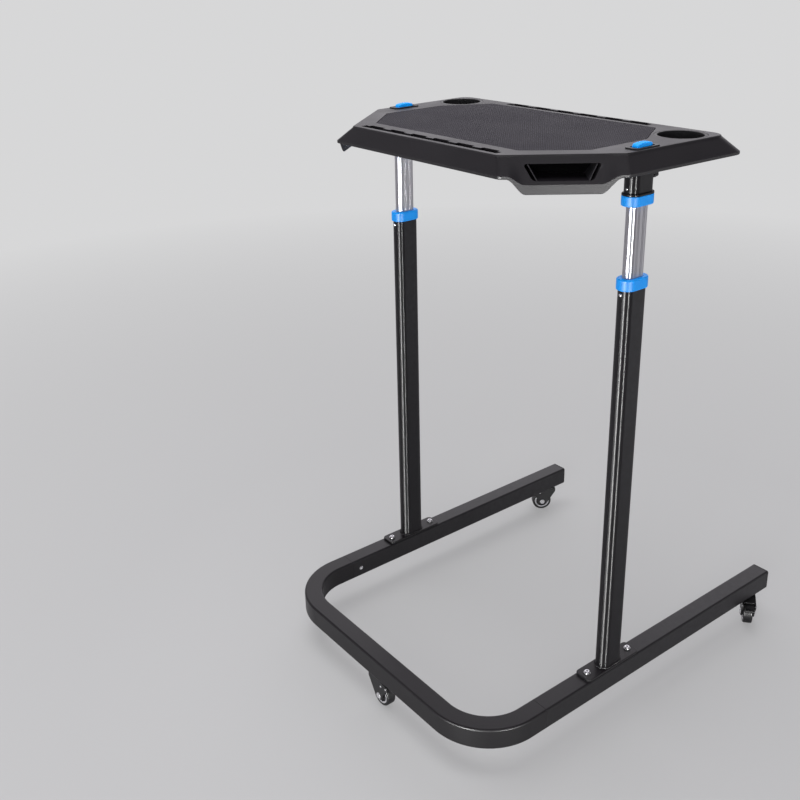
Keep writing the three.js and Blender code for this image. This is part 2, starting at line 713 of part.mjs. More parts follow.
// Mat outline in plan, grown by an even margin.
function matShape(margin) {
  const half = [
    [legX - mat.nearInset, columnY - mat.nearReach], [legX - mat.flankInset, columnY - mat.shoulderReach],
    [legX - mat.flankInset, columnY + mat.flankReach], [legX - mat.farInset, columnY + mat.farReach],
  ];
  const otherHalf = half.map(([x, y]) => [-x, y]).reverse();
  const corners = [...half, ...otherHalf].map(([x, y]) => new THREE.Vector2(x, y));
  const grown = movedCorners(corners, corners.map(() => margin));
  const shape = new THREE.Shape();
  grown.forEach((corner, i) => {
    const before = grown[(i + grown.length - 1) % grown.length];
    const after = grown[(i + 1) % grown.length];
    const start = corner.clone().lerp(before, mat.corner / corner.distanceTo(before));
    const end = corner.clone().lerp(after, mat.corner / corner.distanceTo(after));
    if (i === 0) shape.moveTo(start.x, start.y);
    else shape.lineTo(start.x, start.y);
    shape.quadraticCurveTo(corner.x, corner.y, end.x, end.y);
  });
  return shape;
}

function deskTop() {
  const top = desk.top;
  const troughs = slotTrough(nearSlotY).add(slotTrough(farSlotY));
  const tools = [
    prism(matShape(fit), top - mat.recess, top + overrun, 3),
    slotCut(nearSlotY), slotCut(farSlotY),
  ];
  for (const [, sign] of sides) {
    const [x, y] = [sign * cupPlace[0], cupPlace[1]];
    tools.push(handleCut(sign));
    tools.push(post(cup.radius + fit, top - desk.plate - overrun, top + overrun, 28).translate([x, y, 0]));
    const rimRadius = cup.radius + cup.rim + fit;
    tools.push(post(rimRadius, top - cup.rimDepth - fit, top + overrun, 28).translate([x, y, 0]));
    const throughPlate = 2 * (desk.plate + overrun);
    tools.push(box(
      tray.bodyWidth + 2 * fit, tray.bodyLength + 2 * fit, throughPlate, sign * legX, leverY, top,
    ));
  }
  const blocks = pocketBlock(1).add(pocketBlock(-1));
  return cut(deskSkin().add(troughs).add(blocks), ...tools);
}

add('desk_top', deskTop(), 'desktop');
const matBottom = desk.top - mat.recess + fit;
add('grip_mat', prism(matShape(0), matBottom, matBottom + mat.thickness, 3), 'mat');

// Cup holders: a tapered cup hung from its rim

function cupBody() {
  const top = desk.top;
  const rimLow = top - cup.rimDepth;
  const base = top - cup.depth;
  const inner = cup.radius - cup.wall;
  return turned([
    [0, base], [cup.radius - cup.draft, base], [cup.radius, rimLow], [cup.radius + cup.rim, rimLow],
    [cup.radius + cup.rim, top], [inner + cup.wall / 2, top], [inner, top - cup.wall],
    [inner - cup.draft, base + cup.wall], [0, base + cup.wall],
  ], 28);
}

for (const [side, sign] of sides) {
  add(`cup_holder_${side}`, cupBody().translate([sign * cupPlace[0], cupPlace[1], 0]), 'dark');
}

// Height release: tray, lever, pivot pin and pull rod on each side

function trayBody() {
  const top = desk.top;
  const flange = prism(
    roundedRect(tray.width, tray.length, tray.corner), top + fit, top + fit + tray.rise, 3,
  );
  const bodyTop = top + fit + tray.rise / 2;
  const bodyHeight = bodyTop - (top - tray.bodyDepth);
  const body = box(tray.bodyWidth, tray.bodyLength, bodyHeight, 0, 0, bodyTop - bodyHeight / 2);
  const wellLow = top - tray.bodyDepth + tray.floor;
  const well = prism(
    roundedRect(tray.wellWidth, tray.wellLength, lever.round), wellLow, top + fit + tray.rise + overrun, 2,
  );
  const pinBore = sideBore(pin.radius + fit, 2 * tray.width, 0, pivotY - leverY, pivotZ);
  const rodBore = post(rod.radius + 2 * fit, top - tray.bodyDepth - overrun, wellLow + overrun, 12)
    .translate([0, -tray.offset, 0]);
  return cut(flange.add(body), well, pinBore, rodBore);
}

// Lever in side view: a rounded pad on top, a web at its near end, and a forked shelf below
// that lifts the rod's head.
function leverBody() {
  const half = lever.length / 2;
  const top = lever.top;
  const round = lever.round;
  const web = -half + lever.webThickness;
  const shape = new THREE.Shape();
  shape.moveTo(-half, lever.shelfBottom);
  shape.lineTo(web + lever.shelfReach, lever.shelfBottom);
  shape.lineTo(web + lever.shelfReach, lever.shelfTop);
  shape.lineTo(web, lever.shelfTop);
  shape.lineTo(web, lever.padBottom);
  shape.lineTo(half, lever.padBottom);
  shape.lineTo(half, top - round);
  shape.quadraticCurveTo(half, top, half - round, top);
  shape.lineTo(-half + round, top);
  shape.quadraticCurveTo(-half, top, -half, top - round);
  const blank = alongX(shape, lever.width, 4);
  const forkStart = columnY - leverY - rod.radius - lever.slotMargin;
  const forkEnd = web + lever.shelfReach + overrun;
  const forkHeight = (lever.padBottom + lever.shelfTop) / 2 - lever.shelfBottom + overrun;
  const fork = box(
    lever.slotWidth, forkEnd - forkStart, forkHeight,
    0, (forkStart + forkEnd) / 2, lever.shelfBottom - overrun + forkHeight / 2,
  );
  const bore = sideBore(pin.radius + fit, 2 * lever.width, 0, pivotY - leverY, lever.pivotHeight);
  const plan = prism(
    roundedRect(lever.width, lever.length, lever.round), lever.shelfBottom - overrun, top + overrun, 4,
  );
  return cut(blank.intersect(plan), fork, bore);
}

// Pull rod: a domed head over the lever's shelf and a foot under the glide.
function rodBody() {
  const headLow = desk.top + lever.shelfTop + rod.headGap;
  const headMiddle = headLow + rod.headRadius;
  const footTop = slideBottom - fit - glide.height - rod.footGap;
  const dome = [];
  const steps = 4;
  const startAngle = Math.asin(rod.radius / rod.headRadius);
  for (let i = 0; i <= steps; i += 1) {
    const angle = startAngle + ((Math.PI / 2 - startAngle) * i) / steps;
    dome.push([rod.headRadius * Math.sin(angle), headMiddle - rod.headRadius * Math.cos(angle)]);
  }
  return turned([
    [0, footTop - rod.footHeight], [rod.footRadius, footTop - rod.footHeight],
    [rod.footRadius, footTop], [rod.radius, footTop], ...dome,
    [rod.headRadius, headMiddle + rod.headRise], [0, headMiddle + rod.headRise],
  ], 12);
}

for (const [side, sign] of sides) {
  const x = sign * legX;
  add(`lever_tray_${side}`, trayBody().translate([x, leverY, 0]), 'dark');
  add(`release_lever_${side}`, leverBody().translate([x, leverY, desk.top]), 'blue');
  const pinLength = tray.bodyWidth - 2 * pin.endGap;
  add(`lever_pin_${side}`, sideBore(pin.radius, pinLength, x, pivotY, pivotZ), 'steel');
  add(`pull_rod_${side}`, rodBody().translate([x, columnY, 0]), 'steel');
}

// Casters, drawn with the wheel trailing towards +X, then turned and placed

const forkTop = caster.height - fit - caster.flangeHeight - fit;
const slotHalf = caster.wheelWidth / 2 + caster.wheelSideGap;
const forkHalf = slotHalf + caster.cheek;
const brakePivot = [
  caster.trail + caster.wheelRadius - brake.barrel / 2, caster.wheelRadius * 2 + brake.barrel,
];

// Cylinder along Y, centred on the caster's middle plane.
function crossBar(radius, length, x, z, segments = 12) {
  return solid(new THREE.CylinderGeometry(radius, radius, length, segments).translate(x, 0, z));
}

function casterMount() {
  const low = forkTop - caster.pivotReach;
  const flangeLow = caster.height - fit - caster.flangeHeight;
  const flangeTop = caster.height - fit;
  return turned([
    [0, low], [caster.pivotRadius, low], [caster.pivotRadius, flangeLow], [caster.flangeRadius, flangeLow],
    [caster.flangeRadius, flangeTop], [caster.stemRadius, flangeTop],
    [caster.stemRadius, flangeTop + caster.stemHeight], [0, flangeTop + caster.stemHeight],
  ], 14);
}

// Fork: two cheeks under a hood, cut from one side profile, with the wheel's room taken out.
function casterFork() {
  const { trail, wheelRadius, axleBoss, flangeRadius } = caster;
  const [pivotX, pivotHeight] = brakePivot;
  const ear = brake.barrel + brake.trunnion / 2;
  const shape = new THREE.Shape();
  shape.moveTo(-flangeRadius, forkTop);
  shape.lineTo(flangeRadius, forkTop);
  shape.lineTo(pivotX, pivotHeight + ear);
  shape.absarc(pivotX, pivotHeight, ear, Math.PI / 2, -Math.PI / 4, true);
  shape.lineTo(trail + axleBoss, wheelRadius);
  shape.absarc(trail, wheelRadius, axleBoss, 0, -Math.PI, true);
  shape.lineTo(-flangeRadius, forkTop - caster.forkTopHeight);
  const blank = new THREE.ExtrudeGeometry(shape, {
    depth: 2 * forkHalf, bevelEnabled: false, curveSegments: 4,
  });
  const body = solid(blank.rotateX(Math.PI / 2).translate(0, forkHalf, 0));
  const room = crossBar(wheelRadius + caster.wheelRunGap, 2 * slotHalf, trail, wheelRadius, 22);
  const below = box(4 * wheelRadius, 2 * slotHalf, wheelRadius, trail, 0, wheelRadius / 2);
  const pedalRoom = box(
    4 * wheelRadius, 2 * slotHalf, wheelRadius, pivotX - brake.barrel - fit + 2 * wheelRadius, 0,
    pivotHeight - brake.barrel + wheelRadius / 2 - fit,
  );
  return cut(
    body, room, below, pedalRoom,
    crossBar(axle.radius + fit, 4 * forkHalf, trail, wheelRadius),
    crossBar(brake.trunnion + fit, 4 * forkHalf, pivotX, pivotHeight, 12),
    post(caster.pivotRadius + fit, forkTop - caster.pivotReach - fit, forkTop + overrun),
  );
}

// Wheel: a rounded tread, a set-back web on both sides and a proud hub, bored for the axle.
function casterWheel() {
  const half = caster.wheelWidth / 2;
  const { wheelRadius, hubRadius, webInset, rimWidth, crown, hubProud } = caster;
  const bore = axle.radius + fit;
  const side = [
    [bore, half + hubProud], [hubRadius, half + hubProud], [hubRadius, half - webInset],
    [wheelRadius - rimWidth, half - webInset], [wheelRadius - rimWidth, half], [wheelRadius - crown, half],
    [wheelRadius, half - crown],
  ];
  const profile = [...side.map(([r, h]) => [r, -h]), ...[...side].reverse(), [bore, -half - hubProud]];
  return turned(profile, 18).rotate([90, 0, 0]).translate([caster.trail, 0, wheelRadius]);
}

function casterAxle() {
  const face = forkHalf + fit;
  return turned([
    [0, -face - axle.headHeight], [axle.faceRadius, -face - axle.headHeight],
    [axle.headRadius, -face - axle.headHeight / 2], [axle.headRadius, -face], [axle.radius, -face],
    [axle.radius, face], [axle.headRadius, face], [axle.headRadius, face + axle.headHeight / 2],
    [axle.faceRadius, face + axle.headHeight], [0, face + axle.headHeight],
  ], 12).rotate([90, 0, 0]).translate([caster.trail, 0, caster.wheelRadius]);
}

// Brake pedal: a barrel on two trunnions and a plate that the toe presses down.
function brakePedal() {
  const [x, z] = brakePivot;
  const shape = new THREE.Shape();
  shape.moveTo(x, z - brake.thickness / 2);
  shape.lineTo(x + brake.barrel + brake.reach / 2, z - brake.thickness / 2);
  shape.lineTo(x + brake.barrel + brake.reach, z + brake.rise - brake.thickness / 2);
  shape.lineTo(x + brake.barrel + brake.reach, z + brake.rise + brake.thickness / 2);
  shape.lineTo(x + brake.barrel + brake.reach / 2, z + brake.thickness / 2);
  shape.lineTo(x, z + brake.thickness / 2);
  const geometry = new THREE.ExtrudeGeometry(shape, { depth: brake.width, bevelEnabled: false });
  const plate = solid(geometry.rotateX(Math.PI / 2).translate(0, brake.width / 2, 0));
  const barrel = crossBar(brake.barrel, brake.width, x, z, 16);
  const trunnions = crossBar(brake.trunnion, 2 * forkHalf, x, z, 12);
  return plate.add(barrel).add(trunnions);
}

const casterPlaces = [
  ['front', 0, frontY + frame.tubeWidth / 2, 0],
  ['right', legX, rearY - caster.rearSetback, -52],
  ['left', -legX, rearY - caster.rearSetback, 236],
];
const casterPieces = [
  ['caster_mount', casterMount, 'dark'], ['caster_fork', casterFork, 'dark'],
  ['caster_wheel', casterWheel, 'tyre'], ['caster_axle', casterAxle, 'steel'],
  ['brake_pedal', brakePedal, 'dark'],
];

for (const [place, x, y, heading] of casterPlaces) {
  for (const [name, make, finish] of casterPieces) {
    add(`${name}_${place}`, make().rotate([0, 0, heading]).translate([x, y, 0]), finish);
  }
}

export default group;
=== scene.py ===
# %% [markdown]
# # A bike trainer desk
# This lesson dresses a rolling desk that stands over a bike on its trainer. The measured parts
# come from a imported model. Each visible part is rebuilt as a smooth surface that numpy works
# out, gets a finish made of nodes, and rides on the body that carries it, so that the desk can
# be raised, its levers lifted and its casters turned.

# %% Load the measured parts
import json
import math

import bmesh
import bpy
import numpy as np
from mathutils import Matrix, Vector


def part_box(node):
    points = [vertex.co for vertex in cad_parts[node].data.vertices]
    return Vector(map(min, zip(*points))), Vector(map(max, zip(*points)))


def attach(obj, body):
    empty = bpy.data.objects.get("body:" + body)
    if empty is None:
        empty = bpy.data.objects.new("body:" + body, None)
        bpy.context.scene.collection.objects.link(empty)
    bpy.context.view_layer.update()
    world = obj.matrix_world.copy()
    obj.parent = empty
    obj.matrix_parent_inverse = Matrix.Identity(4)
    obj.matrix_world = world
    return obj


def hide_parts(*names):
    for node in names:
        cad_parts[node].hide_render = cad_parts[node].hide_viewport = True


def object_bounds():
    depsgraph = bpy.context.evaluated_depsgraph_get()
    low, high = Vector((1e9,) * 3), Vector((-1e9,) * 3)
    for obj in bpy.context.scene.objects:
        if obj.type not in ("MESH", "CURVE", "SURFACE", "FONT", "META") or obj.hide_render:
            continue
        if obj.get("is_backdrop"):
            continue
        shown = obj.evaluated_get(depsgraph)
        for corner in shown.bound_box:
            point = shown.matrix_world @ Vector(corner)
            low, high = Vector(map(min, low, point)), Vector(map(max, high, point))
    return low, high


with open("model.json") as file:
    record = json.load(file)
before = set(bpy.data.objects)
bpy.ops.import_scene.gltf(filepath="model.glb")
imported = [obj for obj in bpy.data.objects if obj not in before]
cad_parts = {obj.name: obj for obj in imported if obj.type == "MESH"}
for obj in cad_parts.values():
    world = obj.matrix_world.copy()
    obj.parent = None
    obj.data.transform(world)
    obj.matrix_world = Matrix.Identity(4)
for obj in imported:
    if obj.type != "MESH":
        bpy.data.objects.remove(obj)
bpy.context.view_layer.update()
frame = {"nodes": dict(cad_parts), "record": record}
nodes = frame["nodes"]

# %% [markdown]
# ## Rings, fillets and skins
# Almost every part of the desk is a section carried up a height: flat-oval posts, square tubes,
# round cups and rounded plates. One family of shapes covers them all. A ring is a rounded
# rectangle given by a corner radius and by how far its corner centres stand from the middle. A
# radius alone gives a circle, and one distance gives a flat oval.

# %% Round the corners of an outline
MM = 0.001
# A flat end face is closed at its middle by one small face of this radius.
HUB_R = 1 * MM


def filleted(corners, radii, steps=4):
    """Closed outline with round corners.

    Each corner becomes an arc of its radius: start = corner - before * trim, with
    trim = radius * tan(turn / 2), and the arc turns about start + normal * radius.
    """
    corners = np.asarray(corners, float)
    radii = np.broadcast_to(np.asarray(radii, float), len(corners))
    before = corners - np.roll(corners, 1, axis=0)
    before /= np.linalg.norm(before, axis=1)[:, None]
    after = np.roll(before, -1, axis=0)
    cross = before[:, 0] * after[:, 1] - before[:, 1] * after[:, 0]
    turn = np.arctan2(cross, (before * after).sum(axis=1))
    start = corners - before * (radii * np.tan(np.abs(turn) / 2))[:, None]
    normal = np.stack([-before[:, 1], before[:, 0]], axis=1) * np.sign(turn)[:, None]
    centre = start + normal * radii[:, None]
    angle = turn[:, None] * np.linspace(0, 1, steps + 1)
    spoke = -normal * radii[:, None]
    x = spoke[:, :1] * np.cos(angle) - spoke[:, 1:] * np.sin(angle)
    y = spoke[:, :1] * np.sin(angle) + spoke[:, 1:] * np.cos(angle)
    return (centre[:, None] + np.stack([x, y], axis=2)).reshape(-1, 2)


# %% Carry rings up a profile
def ringed(corners, fillets, steps=4, around=48):
    """Rings stacked along Z. A corner is (radius, across, along, height).

    Point on a ring = (+-across + radius * cos t, +-along + radius * sin t, height), with t
    running once round. Fillets round the profile in the plane of radius and height.
    """
    corners = np.asarray(corners, float)
    profile = filleted(corners[:, [0, 3]], fillets, steps)
    across = np.repeat(corners[:, 1], steps + 1)
    along = np.repeat(corners[:, 2], steps + 1)
    quarter = np.linspace(0, math.pi / 2, around // 4 + 1)
    angle = (quarter + np.arange(4)[:, None] * math.pi / 2).ravel()
    side_x = np.repeat([1, -1, -1, 1], len(quarter))
    side_y = np.repeat([1, 1, -1, -1], len(quarter))
    x = side_x * across[:, None] + profile[:, :1] * np.cos(angle)
    y = side_y * along[:, None] + profile[:, :1] * np.sin(angle)
    z = np.broadcast_to(profile[:, 1:], x.shape)
    return np.stack([x, y, z], axis=2)


def slab(radius, across, along, low_z, high_z, rounds, hub=HUB_R, steps=5, around=48):
    """Closed plate or round head between two heights, with four rounds for its profile."""
    rows = [(hub, across, along, low_z), (radius, across, along, low_z),
            (radius, across, along, high_z), (hub, across, along, high_z)]
    return ringed(rows, rounds, steps, around)


def stacked(rows):
    """Grid from rows of (outline in plan, height). A height is one number or one per point."""
    return np.stack([np.column_stack([plan, np.broadcast_to(z, len(plan))]) for plan, z in rows])


def moved(grid, matrix):
    """Every point of a grid turned and shifted by a 4 by 4 matrix: p' = R p + t."""
    m = np.array(matrix)
    return grid @ m[:3, :3].T + m[:3, 3]


def mirrored(grid):
    """The other hand of a grid: x changes sign, and the columns run backwards, so that the
    skin still faces outwards."""
    return (grid * [-1, 1, 1])[:, ::-1]


# %% Put a skin over a grid of points
def skin(grid, closed=False, caps=True):
    """Points and faces of a grid whose columns close round. A closed grid also joins its last
    row to its first. Otherwise both end rows are capped."""
    rows, columns = grid.shape[:2]
    r, c = np.meshgrid(np.arange(rows if closed else rows - 1), np.arange(columns), indexing="ij")
    r_next, c_next = (r + 1) % rows, (c + 1) % columns
    corners = [r * columns + c, r * columns + c_next, r_next * columns + c_next, r_next * columns + c]
    faces = np.stack(corners, axis=2).reshape(-1, 4).tolist()
    if caps and not closed:
        faces.append(np.arange(columns)[::-1].tolist())
        faces.append((np.arange(columns) + (rows - 1) * columns).tolist())
    return grid.reshape(-1, 3), faces


def mesh_of(name, skins):
    """One mesh from several skins, with doubled points merged."""
    points, faces, count = [], [], 0
    for part_points, part_faces in skins:
        points.append(part_points)
        faces += [[i + count for i in face] for face in part_faces]
        count += len(part_points)
    mesh = bpy.data.meshes.new(name)
    mesh.from_pydata(np.concatenate(points).tolist(), [], faces)
    work = bmesh.new()
    work.from_mesh(mesh)
    bmesh.ops.remove_doubles(work, verts=work.verts, dist=MM / 1000)
    work.to_mesh(mesh)
    work.free()
    return mesh


# %% [markdown]
# ## Settling a piece
# Every piece is finished in the same way. Its faces are shaded smooth with sharp edges kept sharp,
# the shading follows the large faces, it takes its finish, it is told which body carries it, and the
# measured parts it stands for are hidden.

# %% Shade, place and attach a piece
def settle(name, mesh, material, body, stands_for=(), sharp=38):
    """A finished piece. Edges that turn by more than so many degrees stay sharp."""
    piece = bpy.data.objects.new(name, mesh)
    bpy.context.scene.collection.objects.link(piece)
    mesh.polygons.foreach_set("use_smooth", np.ones(len(mesh.polygons), bool))
    mesh.set_sharp_from_angle(angle=math.radians(sharp))
    shading = piece.modifiers.new("even_shading", "WEIGHTED_NORMAL")
    shading.keep_sharp = True
    mesh.materials.clear()
    mesh.materials.append(material)
    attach(piece, body)
    if stands_for:
        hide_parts(*stands_for)
    print(name, "faces", len(mesh.polygons), "on", body)
    return piece


def both_sides(name, grids, material, body, stands_for, closed=False, sharp=38):
    """The same piece on the right column and, mirrored, on the left one."""
    for side, hand in (("right", lambda g: g), ("left", mirrored)):
        mesh = mesh_of(f"{name}_{side}", [skin(hand(g), closed) for g in grids])
        settle(f"{name}_{side}", mesh, material, body.format(side),
               [n.format(side) for n in stands_for], sharp)


# %% [markdown]
# ## Finishes
# The real desk has satin black paint on steel, fine-grained black plastic, a dark dotted mat, glossy
# blue plastic, brushed aluminium and bright zinc. Two effects come back in most of them: a slow
# change of colour and roughness with a fine grain, and a slightly paler tone on sharp edges. That
# tone is partly wear where hands and tools rub and partly a painted highlight along the rounded
# edges. Each is one node group, used with its own values in every finish.

# %% A helper that wires nodes
def wired(tree, kind, inputs=None, **settings):
    """A node with its settings and inputs. An input is a value or another node's socket."""
    node = tree.nodes.new(kind)
    for key, value in settings.items():
        setattr(node, key, value)
    for key, value in (inputs or {}).items():
        if isinstance(value, bpy.types.NodeSocket):
            tree.links.new(value, node.inputs[key])
        else:
            node.inputs[key].default_value = value
    return node


def new_group(name, inputs, outputs):
    """A shader node group with named sockets: name to socket kind."""
    group = bpy.data.node_groups.new(name, "ShaderNodeTree")
    for key, kind in inputs.items():
        group.interface.new_socket(key, in_out="INPUT", socket_type=f"NodeSocket{kind}")
    for key, kind in outputs.items():
        group.interface.new_socket(key, in_out="OUTPUT", socket_type=f"NodeSocket{kind}")
    return group, group.nodes.new("NodeGroupInput"), group.nodes.new("NodeGroupOutput")


# %% The slow change and the fine grain
grain, g_in, g_out = new_group(
    "slow_change_and_grain",
    {"Vector": "Vector", "Colour": "Color", "Other Colour": "Color", "Patch Scale": "Float",
     "Grain Scale": "Float", "Low Roughness": "Float", "High Roughness": "Float"},
    {"Colour": "Color", "Roughness": "Float", "Height": "Float"},
)
patches = wired(grain, "ShaderNodeTexNoise", {
    "Vector": g_in.outputs["Vector"], "Scale": g_in.outputs["Patch Scale"], "Detail": 4.0})
tint = wired(grain, "ShaderNodeMix", {
    "Factor": patches.outputs["Fac"], "A": g_in.outputs["Colour"],
    "B": g_in.outputs["Other Colour"]}, data_type="RGBA")
dull = wired(grain, "ShaderNodeMapRange", {
    "Value": patches.outputs["Fac"], "From Min": 0.3, "From Max": 0.7,
    "To Min": g_in.outputs["Low Roughness"], "To Max": g_in.outputs["High Roughness"]})
fine = wired(grain, "ShaderNodeTexNoise", {
    "Vector": g_in.outputs["Vector"], "Scale": g_in.outputs["Grain Scale"], "Detail": 2.0})
grain.links.new(tint.outputs["Result"], g_out.inputs["Colour"])
grain.links.new(dull.outputs["Result"], g_out.inputs["Roughness"])
grain.links.new(fine.outputs["Fac"], g_out.inputs["Height"])

# %% The paler edge: wear and a painted highlight
# Sharp edges are lightened, partly as rubbed wear and partly as a painted highlight where the rounded
# edges would catch the light.
edge, e_in, e_out = new_group(
    "paler_edge_wear_and_highlight",
    {"Vector": "Vector", "Colour": "Color", "Edge Colour": "Color", "Amount": "Float"},
    {"Colour": "Color"},
)
shape = wired(edge, "ShaderNodeNewGeometry")
sharpness = wired(edge, "ShaderNodeMapRange", {
    "Value": shape.outputs["Pointiness"], "From Min": 0.52, "From Max": 0.6})
broken = wired(edge, "ShaderNodeTexNoise", {
    "Vector": e_in.outputs["Vector"], "Scale": 90.0, "Detail": 3.0})
broken_wear_and_sheen = wired(edge, "ShaderNodeMath", {
    0: sharpness.outputs["Result"], 1: broken.outputs["Fac"]}, operation="MULTIPLY")
share = wired(edge, "ShaderNodeMath", {
    0: broken_wear_and_sheen.outputs[0], 1: e_in.outputs["Amount"]}, operation="MULTIPLY")
worn_and_highlit = wired(edge, "ShaderNodeMix", {
    "Factor": share.outputs[0], "A": e_in.outputs["Colour"],
    "B": e_in.outputs["Edge Colour"]}, data_type="RGBA")
edge.links.new(worn_and_highlit.outputs["Result"], e_out.inputs["Colour"])


# %% [markdown]
# A finish is a Principled shader fed by the two groups. Numbers that are the same all over,
# such as the clear coat's strength, are typed on the shader itself.

# %% A function that makes one finish
def finish(name, colour, other, patch=6.0, grain_scale=900.0, rough=(0.4, 0.5), bump=0.1,
           depth=0.0002, edge_colour=(0.3, 0.3, 0.32, 1), edge_wear_and_sheen=0.25, **shader):
    """Material with two close colours in slow patches, a range of roughness, a fine bump and a paler
    edge, partly wear and partly a painted highlight. Any further name sets the shader's own input of
    that name."""
    material = bpy.data.materials.new(name)
    material.use_nodes = True
    tree = material.node_tree
    surface = tree.nodes["Principled BSDF"]
    place = wired(tree, "ShaderNodeTexCoord")
    change = wired(tree, "ShaderNodeGroup", node_tree=grain)
    for key, value in {"Colour": (*colour, 1), "Other Colour": (*other, 1), "Patch Scale": patch,
                       "Grain Scale": grain_scale, "Low Roughness": rough[0],
                       "High Roughness": rough[1]}.items():
        change.inputs[key].default_value = value
    tree.links.new(place.outputs["Object"], change.inputs["Vector"])
    rim = wired(tree, "ShaderNodeGroup", node_tree=edge)
    tree.links.new(place.outputs["Object"], rim.inputs["Vector"])
    tree.links.new(change.outputs["Colour"], rim.inputs["Colour"])
    rim.inputs["Edge Colour"].default_value = edge_colour
    rim.inputs["Amount"].default_value = edge_wear_and_sheen
    tree.links.new(rim.outputs["Colour"], surface.inputs["Base Color"])
    tree.links.new(change.outputs["Roughness"], surface.inputs["Roughness"])
    relief = wired(tree, "ShaderNodeBump", {
        "Height": change.outputs["Height"], "Strength": bump, "Distance": depth})
    tree.links.new(relief.outputs["Normal"], surface.inputs["Normal"])
    for key, value in shader.items():
        surface.inputs[key.replace("_", " ")].default_value = value
    return material


# %% The finishes of this desk
# Tone of the paler edge on black parts: partly wear, partly a painted highlight.
WORN_AND_HIGHLIT_EDGE = (0.10, 0.10, 0.11, 1)
satin_paint = finish(
    "satin_black_paint", (0.0075, 0.006, 0.0078), (0.0105, 0.0085, 0.011), patch=3.0,
    grain_scale=700.0, rough=(0.34, 0.44), bump=0.06, edge_colour=WORN_AND_HIGHLIT_EDGE,
    Specular_IOR_Level=0.4)
post_paint = finish(
    "gloss_black_paint", (0.006, 0.005, 0.007), (0.009, 0.008, 0.010), patch=4.0,
    grain_scale=500.0, rough=(0.38, 0.385), bump=0.0, edge_colour=WORN_AND_HIGHLIT_EDGE, Anisotropic=1.0,
    Anisotropic_Rotation=0.25)
desk_plastic = finish(
    "grained_black_plastic", (0.008, 0.007, 0.009), (0.012, 0.010, 0.013), patch=9.0,
    grain_scale=1400.0, rough=(0.42, 0.50), bump=0.2, depth=0.0003, edge_colour=WORN_AND_HIGHLIT_EDGE)
smooth_plastic = finish(
    "smooth_black_plastic", (0.006, 0.006, 0.007), (0.010, 0.010, 0.011), patch=20.0,
    grain_scale=800.0, rough=(0.40, 0.48), bump=0.05, edge_colour=WORN_AND_HIGHLIT_EDGE)
# Near-black with almost no shine for the back of the hand-hole pockets: painted shade, so the pockets
# look dark.
painted_pocket_shade = finish(
    "pocket_shade_black", (0.0020, 0.0018, 0.0022), (0.003, 0.0028, 0.0032), patch=20.0,
    rough=(0.8, 0.9), bump=0.1, edge_wear_and_sheen=0.0, Specular_IOR_Level=0.05)
cap_plastic = finish(
    "matt_black_plastic", (0.010, 0.009, 0.011), (0.015, 0.014, 0.016), patch=20.0,
    rough=(0.5, 0.62), bump=0.2, edge_colour=WORN_AND_HIGHLIT_EDGE)
# The blue plastic also gets a faint blue emission: a painted glow that makes it brighter than the
# lamps alone would.
blue_plastic_painted_glow = finish(
    "blue_plastic_painted_glow", (0.004, 0.300, 0.900), (0.006, 0.330, 0.940), patch=14.0,
    rough=(0.38, 0.46), bump=0.05, edge_colour=(0.10, 0.48, 1, 1), Specular_IOR_Level=0.3,
    Emission_Color=(0.0, 0.10, 0.30, 1), Emission_Strength=1.0)
silver_metal = finish(
    "brushed_silver", (0.58, 0.58, 0.61), (0.64, 0.64, 0.67), patch=3.0, grain_scale=400.0,
    rough=(0.36, 0.365), bump=0.0, edge_wear_and_sheen=0.0, Metallic=1.0, Anisotropic=1.0,
    Anisotropic_Rotation=0.25)
zinc = finish(
    "bright_zinc", (0.78, 0.78, 0.80), (0.9, 0.9, 0.92), patch=60.0, rough=(0.16, 0.3),
    bump=0.1, edge_wear_and_sheen=0.0, Metallic=1.0)
tread = finish(
    "smooth_tread", (0.012, 0.012, 0.013), (0.02, 0.02, 0.021), patch=25.0,
    rough=(0.3, 0.42), bump=0.1)
white_plastic = finish(
    "pale_plastic", (0.78, 0.78, 0.80), (0.86, 0.86, 0.88), patch=30.0, rough=(0.25, 0.35),
    bump=0.05, edge_wear_and_sheen=0.0)
print("finishes", len(bpy.data.materials))

# %% [markdown]
# The mat has a dense pattern of small dots set cornerwise. The dots come from the distance to
# the middle of each cell of a turned grid, so they stay round and sharp at any size.

# %% The dotted mat
MAT_PITCH = 3.6 * MM
mat_finish = finish(
    "dotted_mat", (0.006, 0.005, 0.008), (0.010, 0.009, 0.013), patch=7.0, rough=(0.74, 0.84),
    bump=0.3, depth=0.0004, edge_wear_and_sheen=0.1)
tree = mat_finish.node_tree
surface = tree.nodes["Principled BSDF"]
spot = wired(tree, "ShaderNodeTexCoord")
turned = wired(tree, "ShaderNodeMapping", {
    "Vector": spot.outputs["Object"], "Rotation": (0, 0, math.pi / 4),
    "Scale": (1 / MAT_PITCH, 1 / MAT_PITCH, 0)})
cell = wired(tree, "ShaderNodeVectorMath", {0: turned.outputs["Vector"]}, operation="FRACTION")
middle = wired(tree, "ShaderNodeVectorMath", {
    0: cell.outputs["Vector"], 1: (0.5, 0.5, 0)}, operation="SUBTRACT")
reach = wired(tree, "ShaderNodeVectorMath", {0: middle.outputs["Vector"]}, operation="LENGTH")
dots = wired(tree, "ShaderNodeMapRange", {
    "Value": reach.outputs["Value"], "From Min": 0.2, "From Max": 0.36, "To Min": 1.0,
    "To Max": 0.0})
under = surface.inputs["Base Color"].links[0].from_socket
dotted = wired(tree, "ShaderNodeMix", {
    "Factor": dots.outputs["Result"], "A": under, "B": (0.056, 0.049, 0.068, 1)},
    data_type="RGBA")
tree.links.new(dotted.outputs["Result"], surface.inputs["Base Color"])
relief = surface.inputs["Normal"].links[0].from_node
